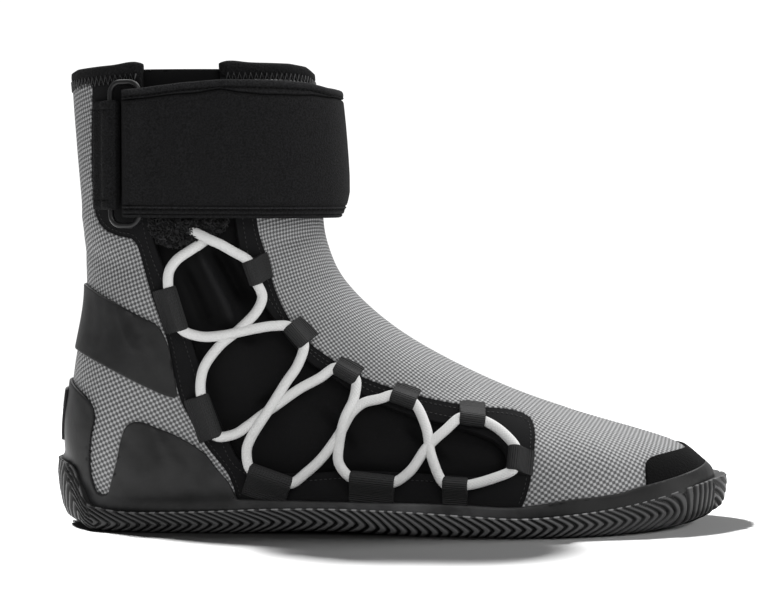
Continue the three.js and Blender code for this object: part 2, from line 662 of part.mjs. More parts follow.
function laceLoop(loop) {
  const { along, out, across, centre, reach } = loopFrame(loop);
  const outline = new THREE.Shape();
  const base = -tunnelHeight - WALL / 2;
  const tail = reach - foldRadius;
  const top = -foldRadius + 2 * LOOP_WALL;
  outline.moveTo(0, base);
  outline.lineTo(tail, base);
  outline.lineTo(tail, top);
  outline.lineTo(foldRadius, top);
  const facets = 6;
  for (let i = 0; i <= facets; i += 1) {
    const turn = 0.15 + ((Math.PI - 0.15) * i) / facets;
    outline.lineTo(foldRadius * Math.cos(turn), foldRadius * Math.sin(turn));
  }
  outline.lineTo(-foldRadius * 0.9, base);
  const hole = new THREE.Path();
  for (let i = 0; i < LACE_SIDES; i += 1) {
    const turn = (-2 * Math.PI * i) / LACE_SIDES;
    const grown = tunnelRadius / Math.cos(Math.PI / LACE_SIDES);
    const p = [grown * Math.cos(turn), grown * Math.sin(turn)];
    if (i === 0) hole.moveTo(...p);
    else hole.lineTo(...p);
  }
  outline.holes.push(hole);
  const geometry = new THREE.ExtrudeGeometry(outline, { depth: loop.width, bevelEnabled: false, steps: 1 });
  geometry.translate(0, 0, -loop.width / 2);
  const basis = new THREE.Matrix4().makeBasis(along, out, along.clone().cross(out));
  basis.setPosition(centre);
  geometry.applyMatrix4(basis);
  return solidFrom(geometry).subtract(loopGround);
}
for (const loop of LACE_LOOPS) addPiece(loop.name, laceLoop(loop), MATERIALS.webbing);

// Lace: two halves from the keeper to the toe loop, joined where they cross. The places between
// the loops are side-view ones, chosen by hand, at one height over the form or at their third value.
const LACE_RUNS = [
  [
    [0.214, 1.236, 0], [0.232, 1.230, 2.5], [0.255, 1.207], [0.275, 1.179], 1,
    [0.310, 0.986], [0.298, 0.904], [0.278, 0.847], [0.249, 0.773], [0.229, 0.691], [0.224, 0.628], 10,
    [0.275, 0.405], [0.297, 0.437], [0.324, 0.495], [0.365, 0.585], [0.394, 0.630], 3,
    [0.445, 0.552], [0.433, 0.470], [0.425, 0.372], [0.425, 0.298], 8,
    [0.527, 0.268], [0.551, 0.360], [0.576, 0.420], 5,
    [0.654, 0.409], 6,
  ],
  [
    6, [0.642, 0.240], 7,
    [0.557, 0.327], [0.549, 0.431], 4,
    [0.482, 0.545], [0.459, 0.532], [0.442, 0.495], [0.425, 0.413], [0.399, 0.314], [0.379, 0.262], 9,
    [0.286, 0.341], [0.307, 0.454], [0.324, 0.527], [0.344, 0.618], [0.363, 0.692], 2,
    [0.326, 0.851], [0.295, 0.839], [0.252, 0.818], [0.221, 0.818], 11,
    [0.179, 1.072], [0.186, 1.134], [0.200, 1.180, 2.5], [0.212, 1.222, 0],
  ],
];
const RUN_HEIGHT = 3.8;

// Path of one half of the lace. A number in its row is the loop whose tunnel it runs through,
// straight, from the end nearer to the place before it.
function lacePath(run) {
  const places = run.map((stop) => (
    Array.isArray(stop) ? onOuterSide(stop, stop[2] ?? RUN_HEIGHT) : null
  ));
  const points = [];
  run.forEach((stop, i) => {
    if (places[i]) {
      points.push(places[i]);
      return;
    }
    const loop = LACE_LOOPS[stop - 1];
    const { centre, across } = loopFrame(loop);
    const reach = loop.width / 2 + LACE_DIAMETER / 3;
    const [a, b] = [places[i - 1] ?? centre, places[i + 1] ?? centre];
    const way = across.clone().multiplyScalar(across.dot(b.clone().sub(a)) < 0 ? -1 : 1);
    const from = places[i - 1] ? -reach : -1;
    const to = places[i + 1] ? reach : 1;
    for (const d of [from, to]) points.push(centre.clone().addScaledVector(way, d));
  });
  return points;
}

// Tube along a path. The room for it is a wider one that also runs past its ends.
function laceTube(path, radius, past = 0) {
  const points = path.map((p) => p.clone());
  const last = points.length - 1;
  points[0].add(points[0].clone().sub(points[1]).setLength(past));
  points[last].add(points[last].clone().sub(points[last - 1]).setLength(past));
  const run = new THREE.CatmullRomCurve3(points, false, 'centripetal');
  run.getUtoTmapping = (u) => u;
  const section = new THREE.Shape();
  for (let i = 0; i < LACE_SIDES; i += 1) {
    const turn = (2 * Math.PI * i) / LACE_SIDES;
    const p = [radius * Math.cos(turn), radius * Math.sin(turn)];
    if (i === 0) section.moveTo(...p);
    else section.lineTo(...p);
  }
  const geometry = new THREE.ExtrudeGeometry(section, {
    steps: last,
    extrudePath: run,
    bevelEnabled: false,
  });
  return solidFrom(geometry);
}
const lacePaths = LACE_RUNS.map(lacePath);
const lace = lacePaths
  .map((path) => laceTube(path, laceRadius))
  .reduce((whole, run) => whole.add(run));
addPiece('lace', lace, MATERIALS.lace);

// Lace keeper: soft pad at the top of the throat that holds both lace ends
const KEEPER = [
  [0.149, 1.298], [0.236, 1.298], [0.239, 1.228], [0.217, 1.183], [0.163, 1.2], [0.152, 1.232],
].map(spot);
const keeperLow = -WALL + GAP;
const keeperBody = shell(keeperLow, keeperLow + KEEPER_THICKNESS)
  .intersect(prism(KEEPER, -1))
  .subtract(prism(grow(EYESTAY, GAP), -1).subtract(prism(grow(THROAT, -GAP), -1)));
const keeper = lacePaths
  .reduce((pad, path) => pad.subtract(laceTube(path, laceRadius + GAP, GAP)), keeperBody);
addPiece('lace_keeper', keeper, MATERIALS.neoprene);

// Ankle strap, its ring and its anchor run upright round the shaft. A turn of 0 degrees faces
// the front, 90 the outer side, and a standoff lies outwards from the form.
const STRAP_MIDDLE = height(1.57);
const SHAFT_AXIS = 0.21 * LENGTH;
function roundShaft(turn, standoff) {
  const angle = THREE.MathUtils.degToRad(turn);
  const direction = new THREE.Vector3(Math.cos(angle), -Math.sin(angle), 0);
  const origin = new THREE.Vector3(SHAFT_AXIS, 0, STRAP_MIDDLE);
  const { point } = hit(origin, direction);
  return new THREE.Vector2(point.x, point.y)
    .addScaledVector(new THREE.Vector2(direction.x, direction.y), standoff);
}

// Upright band along a line of plan points
function band(line, thickness, tall) {
  const sides = [[], []];
  line.forEach((p, i) => {
    const before = line[Math.max(i - 1, 0)];
    const after = line[Math.min(i + 1, line.length - 1)];
    const t = after.clone().sub(before).normalize();
    const out = new THREE.Vector2(-t.y, t.x).multiplyScalar(thickness / 2);
    sides[0].push(p.clone().add(out));
    sides[1].unshift(p.clone().sub(out));
  });
  return column([...sides[0], ...sides[1]], STRAP_MIDDLE - tall / 2, STRAP_MIDDLE + tall / 2);
}

function upright(centre, radius, tall) {
  const rod = new THREE.CylinderGeometry(radius, radius, tall, 10, 1);
  rod.rotateX(Math.PI / 2);
  rod.translate(centre.x, centre.y, STRAP_MIDDLE);
  return solidFrom(rod);
}

const barHole = RING_BAR * Math.SQRT1_2 + 2 * GAP;
const eyeWall = ANCHOR_THICKNESS - GAP;
const eyeRadius = barHole + eyeWall;
const barStandoff = SKIN + 2 * GAP + eyeRadius;
const FRONT_BAR_TURN = 118;
const frontBar = roundShaft(FRONT_BAR_TURN, barStandoff);
const ringWay = roundShaft(FRONT_BAR_TURN + 8, barStandoff).sub(frontBar).normalize();
const barSpan = RING_WIDTH - RING_BAR;
const rearBar = frontBar.clone().addScaledVector(ringWay, barSpan);
const shaftClear = formAt(SKIN + GAP);

// Strap: turns and bulge shares of its middle line, from the ring round the front to its sewn end
const STRAP_LINE = [
  [104, 0.06], [88, 0.06], [66, 0.3], [48, 0.62], [34, 0.86], [20, 1], [7, 1], [-7, 1], [-20, 0.96],
  [-36, 0.78], [-56, 0.42], [-78, 0.12], [-98, 0], [-118, 0], [-135, 0],
];
const strapLine = STRAP_LINE.map(([turn, bulge]) => roundShaft(
  turn,
  SKIN + 2 * GAP + STRAP_THICKNESS / 2 + bulge * STRAP_FRONT_STANDOFF,
));
const strap = band([frontBar, ...strapLine], STRAP_THICKNESS, STRAP_HEIGHT)
  .add(upright(frontBar, eyeRadius, STRAP_HEIGHT))
  .subtract(upright(frontBar, barHole, 2 * STRAP_HEIGHT))
  .subtract(shaftClear);
addPiece('ankle_strap', strap, MATERIALS.neoprene);

function ringFrame() {
  const shape = new THREE.Shape();
  const [w, h, corner] = [RING_WIDTH / 2, RING_HEIGHT / 2, RING_BAR];
  const rounded = (path, x, y, r) => {
    path.moveTo(-x + r, -y);
    path.lineTo(x - r, -y);
    path.lineTo(x, -y + r);
    path.lineTo(x, y - r);
    path.lineTo(x - r, y);
    path.lineTo(-x + r, y);
    path.lineTo(-x, y - r);
    path.lineTo(-x, -y + r);
    path.closePath();
  };
  rounded(shape, w, h, corner);
  const hole = new THREE.Path();
  rounded(hole, w - RING_BAR, h - RING_BAR, corner / 4);
  shape.holes.push(hole);
  const geometry = new THREE.ExtrudeGeometry(shape, { depth: RING_BAR, bevelEnabled: false, steps: 1 });
  geometry.translate(0, 0, -RING_BAR / 2);
  const across = new THREE.Vector3(ringWay.x, ringWay.y, 0);
  const up = new THREE.Vector3(0, 0, 1);
  const basis = new THREE.Matrix4().makeBasis(across, up, across.clone().cross(up));
  const middle = frontBar.clone().add(rearBar).divideScalar(2);
  basis.setPosition(middle.x, middle.y, STRAP_MIDDLE);
  geometry.applyMatrix4(basis);
  return solidFrom(geometry);
}
addPiece('strap_ring', ringFrame(), MATERIALS.plastic);

// Strap anchor: short tape folded round the ring's rear bar and sewn to the upper behind it
const anchorSeat = SKIN + 2 * GAP + ANCHOR_THICKNESS / 2;
const anchorLine = [rearBar, ...[145, 149, 153].map((turn) => roundShaft(turn, anchorSeat))];
const anchor = band(anchorLine, ANCHOR_THICKNESS, ANCHOR_HEIGHT)
  .add(upright(rearBar, eyeRadius, ANCHOR_HEIGHT))
  .subtract(upright(rearBar, barHole, 2 * ANCHOR_HEIGHT))
  .subtract(shaftClear);
addPiece('strap_anchor', anchor, MATERIALS.webbing);

// The part stands with the middle of its outline over the origin.
const extent = new THREE.Box3().setFromObject(group);
group.position.set(-(extent.min.x + extent.max.x) / 2, -(extent.min.y + extent.max.y) / 2, -extent.min.z);

export default group;
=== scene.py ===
import math

import bmesh
import bpy
import numpy as np
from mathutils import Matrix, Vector
from mathutils.bvhtree import BVHTree


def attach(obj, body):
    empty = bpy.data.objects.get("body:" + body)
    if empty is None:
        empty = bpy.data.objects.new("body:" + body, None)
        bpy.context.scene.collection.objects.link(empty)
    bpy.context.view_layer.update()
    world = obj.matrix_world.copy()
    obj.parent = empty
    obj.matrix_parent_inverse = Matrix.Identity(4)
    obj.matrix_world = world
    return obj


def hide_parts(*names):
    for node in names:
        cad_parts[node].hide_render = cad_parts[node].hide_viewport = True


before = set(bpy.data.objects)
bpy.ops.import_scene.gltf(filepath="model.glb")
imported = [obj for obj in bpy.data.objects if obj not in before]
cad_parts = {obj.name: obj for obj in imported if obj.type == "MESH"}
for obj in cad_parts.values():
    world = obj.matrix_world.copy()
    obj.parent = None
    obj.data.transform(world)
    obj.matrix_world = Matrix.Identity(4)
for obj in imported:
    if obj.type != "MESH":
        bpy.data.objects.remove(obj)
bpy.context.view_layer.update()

# Camera and studio. The boot is seen from its outer side by a long lens a metre away, a little above
# its middle, under large soft lights. The floor has two lights of its own, so that it shows white.
camera_data = bpy.data.cameras.new("camera")
camera_data.lens = 110
camera_data.sensor_width = 36
camera = bpy.data.objects.new("camera", camera_data)
bpy.context.collection.objects.link(camera)
camera.location = (-0.0031, -0.9969, 0.140)
aim = Vector((-0.0031, 0.0031, 0.0949))
camera.rotation_euler = (aim - camera.location).to_track_quat("-Z", "Y").to_euler()
bpy.context.scene.camera = camera
bpy.context.scene.view_settings.view_transform = "Standard"

world = bpy.data.worlds.new("studio")
world.use_nodes = True
background = world.node_tree.nodes["Background"]
background.inputs["Color"].default_value = (1, 1, 1, 1)
light_path = world.node_tree.nodes.new("ShaderNodeLightPath")
seen = world.node_tree.nodes.new("ShaderNodeMapRange")
seen.inputs["To Min"].default_value = 0.42
seen.inputs["To Max"].default_value = 1.1
world.node_tree.links.new(light_path.outputs["Is Camera Ray"], seen.inputs["Value"])
world.node_tree.links.new(seen.outputs["Result"], background.inputs["Strength"])
bpy.context.scene.world = world


def soft_light(name, place, target, size, power):
    data = bpy.data.lights.new(name, "AREA")
    data.shape = "RECTANGLE"
    data.size, data.size_y = size
    data.energy = power
    light = bpy.data.objects.new(name, data)
    bpy.context.collection.objects.link(light)
    light.location = place
    light.rotation_euler = (Vector(target) - Vector(place)).to_track_quat("-Z", "Y").to_euler()
    return light


boot_lights = [
    soft_light("top", (0.2, 0.75, 1.45), (0.0, 0.15, 0), (2.4, 1.8), 46),
    soft_light("front", (0.55, -1.1, 0.75), (0.03, 0, 0.07), (0.9, 0.6), 5),
    soft_light("right_strip", (0.95, -0.2, 0.35), (0.1, 0, 0.05), (0.25, 0.7), 2),
]


def new_material(name, roughness, specular=0.5, colour=None):
    """A material with an even finish, with its tree and its shader"""
    material = bpy.data.materials.new(name)
    material.use_nodes = True
    tree = material.node_tree
    surface = tree.nodes["Principled BSDF"]
    surface.inputs["Roughness"].default_value = roughness
    surface.inputs["Specular IOR Level"].default_value = specular
    if colour:
        surface.inputs["Base Color"].default_value = (*colour, 1)
    return material, tree, surface


def add_node(tree, kind, links=None, **settings):
    """A shader node with its settings, and its inputs linked or set by name or number"""
    made = tree.nodes.new(kind)
    for key, value in settings.items():
        setattr(made, key, value)
    for key, value in (links or {}).items():
        socket = made.inputs[key]
        if isinstance(value, bpy.types.NodeSocket):
            tree.links.new(value, socket)
        else:
            socket.default_value = value
    return made


def grain(tree, scale, detail=2.0):
    """Noise in the piece's own space"""
    place = add_node(tree, "ShaderNodeTexCoord").outputs["Object"]
    noise = add_node(tree, "ShaderNodeTexNoise", {"Vector": place, "Scale": scale, "Detail": detail})
    return noise.outputs["Fac"]


def add_bump(tree, surface, height, strength, distance):
    bump = add_node(tree, "ShaderNodeBump", {"Height": height, "Strength": strength, "Distance": distance})
    tree.links.new(bump.outputs["Normal"], surface.inputs["Normal"])


def colour_ramp(tree, value, stops):
    """Colours by a value, from stops of place and colour"""
    ramp = add_node(tree, "ShaderNodeValToRGB", {"Fac": value})
    elements = ramp.color_ramp.elements
    for element, (place, colour) in zip(elements, (stops[0], stops[-1])):
        element.position = place
        element.color = (*colour, 1)
    for place, colour in stops[1:-1]:
        elements.new(place).color = (*colour, 1)
    return ramp.outputs["Color"]


floor_material, tree, surface = new_material("floor", 0.8, 0.05, (0.05, 0.05, 0.05))
bpy.ops.mesh.primitive_plane_add(size=1.1)
floor = bpy.context.object
floor.name = "floor"
floor.data.materials.append(floor_material)
floor_only = bpy.data.collections.new("floor_only")
floor_only.objects.link(floor)
floor_lights = [
    soft_light("floor_light", (-1.73, 1.3, 3.38), (0.05, 0.0, 0.0), (0.5, 0.38), 5400),
    soft_light("floor_fill", (1.1, 0.15, 0.42), (0.1, 0.0, 0.0), (0.5, 0.4), 95),
]
for light in floor_lights:
    light.light_linking.receiver_collection = floor_only
all_but_floor = bpy.data.collections.new("all_but_floor")
all_but_floor.objects.link(floor)
all_but_floor.collection_objects[0].light_linking.link_state = "EXCLUDE"
for light in boot_lights:
    light.light_linking.receiver_collection = all_but_floor


# The form of the boot, which every sewn and glued layer follows: sections from the toe to the collar,
# each between a top point and a low point under the foot or behind the heel. Columns are shares of the
# length, the height and the width, then the squareness below and above the widest line.
LENGTH = 285.0
HEIGHT = 100.0
BALL_WIDTH = 92.0
SHAFT_WIDTH = 72.0
COLLAR_Z = 193.0
MIDDLE = np.array([142.4037, -3.0662, 0.0])
FOOT_SECTIONS = [
    [0.971, 0.224, 0.968, 0.160, 0.060, 0.168, 0.054, 0.45, 2.2, 2.2],
    [0.958, 0.264, 0.954, 0.100, 0.174, 0.239, 0.049, 0.40, 2.6, 2.3],
    [0.926, 0.330, 0.923, 0.073, 0.293, 0.326, 0.043, 0.34, 3.2, 2.3],
    [0.870, 0.384, 0.863, 0.060, 0.408, 0.413, 0.033, 0.30, 4.0, 2.3],
    [0.779, 0.460, 0.768, 0.056, 0.500, 0.462, 0.027, 0.27, 4.6, 2.2],
    [0.684, 0.554, 0.670, 0.056, 0.522, 0.473, 0.027, 0.26, 5.0, 2.1],
    [0.593, 0.672, 0.568, 0.056, 0.489, 0.435, 0.027, 0.25, 5.0, 2.05],
    [0.516, 0.798, 0.470, 0.056, 0.446, 0.402, 0.022, 0.25, 5.0, 2.05],
    [0.458, 0.930, 0.365, 0.056, 0.408, 0.380, 0.016, 0.26, 4.8, 2.1],
]
SHAFT_SECTIONS = [
    [0.419, 1.060, 0.253, 0.056, 0.493, 0.472, 0.014, 0.30, 4.4, 2.2],
    [0.399, 1.200, 0.140, 0.058, 0.479, 0.465, 0, 0.36, 4.0, 2.2],
    [0.392, 1.340, 0.049, 0.090, 0.472, 0.465, 0, 0.42, 3.0, 2.2],
    [0.389, 1.470, 0.022, 0.340, 0.479, 0.472, 0, 0.46, 2.6, 2.2],
    [0.387, 1.590, 0.031, 0.660, 0.486, 0.479, 0, 0.50, 2.4, 2.2],
    [0.384, 1.700, 0.049, 0.970, 0.493, 0.486, 0, 0.50, 2.2, 2.2],
    [0.382, 1.800, 0.045, 1.270, 0.5, 0.493, 0, 0.50, 2.2, 2.2],
    [0.380, 1.900, 0.036, 1.600, 0.5, 0.5, 0, 0.50, 2.2, 2.2],
    [0.378, 2.000, 0.030, 1.860, 0.5, 0.5, 0, 0.50, 2.2, 2.2],
    [0.377, 2.100, 0.029, 2.100, 0.5, 0.5, 0, 0.50, 2.2, 2.2],
]
HALF = 128
NOSE_ROWS = 6
FORM_ROWS = 380


def run_along(points):
    """Length of a line from its start to each of its points"""
    return np.concatenate([[0], np.cumsum(np.linalg.norm(np.diff(points, axis=0), axis=1))])


def section_columns():
    rows = []
    for table, width in ((FOOT_SECTIONS, BALL_WIDTH), (SHAFT_SECTIONS, SHAFT_WIDTH)):
        for row in table:
            scale = [LENGTH, HEIGHT, LENGTH, HEIGHT, width, width, width, 1, 1, 1]
            rows.append([value * s for value, s in zip(row, scale)])
    return np.array(rows)


def between(columns, places):
    """Catmull-Rom rows of a table at fractional places"""
    last = len(columns) - 1
    i = np.minimum(places.astype(int), last - 1)
    t = (places - i)[:, None]
    padded = np.vstack([2 * columns[0] - columns[1], columns, 2 * columns[-1] - columns[-2]])
    p0, p1, p2, p3 = (padded[i + k] for k in range(4))
    return 0.5 * (2 * p1 + (p2 - p0) * t + (2 * p0 - 5 * p1 + 4 * p2 - p3) * t ** 2
                  + (3 * p1 - p0 - 3 * p2 + p3) * t ** 3)


def half_section(row, side):
    """Evenly spaced points from the top to the low point of one section, on one side"""
    top_x, top_z, low_x, low_z, outer, inner, ridge, widest, low, high = row
    quarter = np.linspace(0, 1, 161)
    quarter = quarter ** 2 * (3 - 2 * quarter) * math.pi / 2
    angles = np.concatenate([quarter, math.pi / 2 + quarter[1:]])
    sine = np.abs(np.sin(angles))
    cosine = np.abs(np.cos(angles))
    over = angles <= math.pi / 2
    power = np.where(over, 2 / high, 2 / low)
    share = np.where(over, widest + (1 - widest) * cosine ** power, widest * (1 - cosine ** power))
    reach = outer + ridge if side < 0 else inner - ridge
    fine = np.stack([
        low_x + (top_x - low_x) * share,
        ridge + side * reach * sine ** power,
        low_z + (top_z - low_z) * share,
    ], axis=1)
    run = run_along(fine)
    want = np.linspace(0, run[-1], HALF + 1)
    return np.stack([np.interp(want, run, fine[:, k]) for k in range(3)], axis=1)


def make_form():
    columns = section_columns()
    rings = []
    for row in between(columns, np.linspace(0, len(columns) - 1, FORM_ROWS)):
        outer = half_section(row, -1)
        inner = half_section(row, 1)[::-1]
        rings.append(np.vstack([outer, inner[1:-1]]))
    pole = rings[0].mean(axis=0) + (0.004 * LENGTH, 0, 0)
    nose = []
    for share in np.linspace(0.02, 1, NOSE_ROWS, endpoint=False):
        ring = pole + (rings[0] - pole) * share
        ring[:, 0] = pole[0] - (pole[0] - rings[0][:, 0]) * share ** 2
        nose.append(ring)
    return np.array(nose + rings)


FORM = make_form()
AROUND = FORM.shape[1]


def form_normals():
    along = np.gradient(FORM, axis=0)
    around = np.roll(FORM, -1, axis=1) - np.roll(FORM, 1, axis=1)
    normals = np.cross(along, around)
    normals[0] = (1, 0, 0)
    return normals / np.linalg.norm(normals, axis=2, keepdims=True)


FORM_NORMALS = form_normals()


def on_form(grid, i, j):
    """Values of a form grid at fractional rows and columns"""
    i = np.clip(np.asarray(i, float), 0, FORM.shape[0] - 1.001)
    j = np.asarray(j, float) % AROUND
    i0, j0 = i.astype(int), j.astype(int)
    j1 = (j0 + 1) % AROUND
    a, b = (i - i0)[..., None], (j - j0)[..., None]
    return ((grid[i0, j0] * (1 - b) + grid[i0, j1] * b) * (1 - a)
            + (grid[i0 + 1, j0] * (1 - b) + grid[i0 + 1, j1] * b) * a)


def spline_span(p0, p1, p2, p3, steps):
    """Centripetal Catmull-Rom points from the second point up to the third, which is left out"""
    knots = np.cumsum([0] + [max(np.linalg.norm(v), 1e-6) ** 0.5 for v in (p1 - p0, p2 - p1, p3 - p2)])
    t = knots[1] + (knots[2] - knots[1]) * np.arange(steps)[:, None] / steps
    l1 = p0 + (p1 - p0) * (t - knots[0]) / (knots[1] - knots[0])
    l2 = p1 + (p2 - p1) * (t - knots[1]) / (knots[2] - knots[1])
    l3 = p2 + (p3 - p2) * (t - knots[2]) / (knots[3] - knots[2])
    m1 = l1 + (l2 - l1) * (t - knots[0]) / (knots[2] - knots[0])
    m2 = l2 + (l3 - l2) * (t - knots[1]) / (knots[3] - knots[1])
    return m1 + (m2 - m1) * (t - knots[1]) / (knots[2] - knots[1])


def smooth_line(points, closed=True, step=1.2):
    """A line given in shares as a smooth one in millimetres. Its sharp corners stay."""
    p = np.array(points, float) * (LENGTH, HEIGHT)
    n = len(p)
    count = n if closed else n - 1
    turns = np.zeros(n, bool)
    for k in range(n):
        if not closed and k in (0, n - 1):
            turns[k] = True
            continue
        a, b = p[k] - p[k - 1], p[(k + 1) % n] - p[k]
        cos = a @ b / (np.linalg.norm(a) * np.linalg.norm(b) + 1e-9)
        turns[k] = cos < 0.55
    out = []
    for k in range(count):
        q = (k + 1) % n
        a, b = p[k], p[q]
        before = 2 * a - b if turns[k] else p[k - 1]
        after = 2 * b - a if turns[q] else p[(q + 1) % n]
        out.extend(spline_span(before, a, b, after, max(1, int(np.linalg.norm(b - a) / step))))
    if not closed:
        out.append(p[-1])
    return np.array(out)


def within(outline, points):
    """Distance of side-view points inside an outline, negative outside it"""
    x, z = points[:, 0], points[:, 2]
    a = outline
    b = np.roll(outline, -1, axis=0)
    nearest = np.full(len(points), 1e9)
    crossed = np.zeros(len(points), bool)
    for (ax, az), (bx, bz) in zip(a, b):
        dx, dz = bx - ax, bz - az
        size = dx * dx + dz * dz + 1e-12
        t = np.clip(((x - ax) * dx + (z - az) * dz) / size, 0, 1)
        nearest = np.minimum(nearest, (x - ax - t * dx) ** 2 + (z - az - t * dz) ** 2)
        if az != bz:
            over = (az > z) != (bz > z)
            crossed ^= over & (x < ax + (z - az) * dx / (bz - az))
    return np.where(crossed, 1, -1) * np.sqrt(nearest)


def cut_form(inside, step, rows=None):
    """Cuts the form's grid to where inside(points, outer) is positive. Its edges run along the line."""
    first, last = rows or (0, FORM.shape[0] - 1)
    i_lines = np.unique(np.append(np.arange(first, last, step), last))
    j_lines = np.arange(0, AROUND, step)
    n, m = len(i_lines), len(j_lines)
    ii, jj = np.meshgrid(i_lines.astype(float), j_lines.astype(float), indexing="ij")
    points = on_form(FORM, ii, jj).reshape(-1, 3)
    outer = ((jj > 0) & (jj < HALF)).ravel()
    field = inside(points, outer).reshape(n, m)
    near = np.full((n, m), 0.32)
    moved_i, moved_j = ii.copy(), jj.copy()
    snapped = np.zeros((n, m), bool)
    for di, dj in ((1, 0), (-1, 0), (0, 1), (0, -1)):
        other = np.roll(field, (-di, -dj), axis=(0, 1))
        valid = np.ones((n, m), bool)
        if di == 1:
            valid[-1] = False
        if di == -1:
            valid[0] = False
        change = valid & (field * other < 0)
        t = np.where(change, field / np.where(change, field - other, 1), 1)
        take = change & (t < near)
        gap_i = np.roll(ii, -di, axis=0) - ii
        near = np.where(take, t, near)
        moved_i = np.where(take, ii + t * gap_i * abs(di), moved_i)
        moved_j = np.where(take, jj + t * dj * step, moved_j)
        snapped |= take
    field = np.where(snapped, 0, field)
    verts = []
    index = {}

    def corner(a, b):
        key = (a, b)
        if key not in index:
            index[key] = len(verts)
            verts.append((moved_i[a, b], moved_j[a, b]))
        return index[key]

    def crossing(p, q):
        key = (min(p, q), max(p, q))
        if key not in index:
            t = field[p] / (field[p] - field[q])
            jp, jq = moved_j[p], moved_j[q]
            if jq - jp > AROUND / 2:
                jq -= AROUND
            if jp - jq > AROUND / 2:
                jq += AROUND
            index[key] = len(verts)
            verts.append((moved_i[p] + t * (moved_i[q] - moved_i[p]), jp + t * (jq - jp)))
        return index[key]

    faces = []
    positive = field > 0
    for a in range(n - 1):
        for b in range(m):
            c = (b + 1) % m
            cell = ((a, b), (a + 1, b), (a + 1, c), (a, c))
            if not (positive[a, b] or positive[a + 1, b] or positive[a + 1, c] or positive[a, c]):
                continue
            face = []
            for k in range(4):
                p, q = cell[k], cell[(k + 1) % 4]
                if field[p] >= 0:
                    face.append(corner(*p))
                if field[p] * field[q] < 0:
                    face.append(crossing(p, q))
            if len(face) > 2:
                faces.append(face)
    return np.array(verts), faces


def rims_of(faces):
    """Next and previous corner along the open edges of a sheet"""
    after = {}
    for face in faces:
        for k, a in enumerate(face):
            after[(a, face[(k + 1) % len(face)])] = True
    follows = {a: b for a, b in after if (b, a) not in after}
    leads = {b: a for a, b in follows.items()}
    return follows, leads


def make_object(name, points, faces, uvs=None, smooth=True):
    """A mesh object from millimetre points in the boot's own frame"""
    mesh = bpy.data.meshes.new(name)
    place = (np.asarray(points, float) - MIDDLE) * 0.001
    mesh.from_pydata(place.tolist(), [], [list(map(int, f)) for f in faces])
    if uvs is not None:
        layer = mesh.uv_layers.new(name="UVMap")
        layer.data.foreach_set("uv", np.asarray(uvs, float).ravel())
    mesh.polygons.foreach_set("use_smooth", [smooth] * len(mesh.polygons))
    mesh.update()
    piece = bpy.data.objects.new(name, mesh)
    bpy.context.collection.objects.link(piece)
    return piece


def ring_faces(rows, sides, closed=False):
    """Four-sided faces between rings of points, back to the first ring if closed"""
    faces = []
    for a in range(rows if closed else rows - 1):
        c = (a + 1) % rows
        for b in range(sides):
            d = (b + 1) % sides
            faces.append([a * sides + b, a * sides + d, c * sides + d, c * sides + b])
    return faces


def face_outward(piece):
    mesh = bmesh.new()
    mesh.from_mesh(piece.data)
    bmesh.ops.recalc_face_normals(mesh, faces=mesh.faces)
    mesh.to_mesh(piece.data)
    mesh.free()
    return piece


def set_attribute(piece, name, values):
    """A value at each corner point of a piece, which its material reads"""
    piece.data.attributes.new(name, "FLOAT", "POINT").data.foreach_set("value", values)


def painted_shade_copy(material):
    """A copy of a material whose colour is scaled by the piece's tone value at each point, which paints light
    and shade on it
    """
    copy = material.copy()
    tree = copy.node_tree
    colour = tree.nodes["Principled BSDF"].inputs["Base Color"]
    before = colour.links[0].from_socket if colour.links else tuple(colour.default_value)[:3]
    tone = add_node(tree, "ShaderNodeAttribute", attribute_name="tone")
    toned = add_node(tree, "ShaderNodeVectorMath", {0: before, "Scale": tone.outputs["Fac"]},
                     operation="SCALE")
    tree.links.new(toned.outputs[0], colour)
    return copy


def finish_piece(piece, material, slot, *nodes):
    piece.data.materials.clear()
    piece.data.materials.append(material)
    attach(piece, "root")
    if nodes:
        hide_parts(*nodes)
    return piece


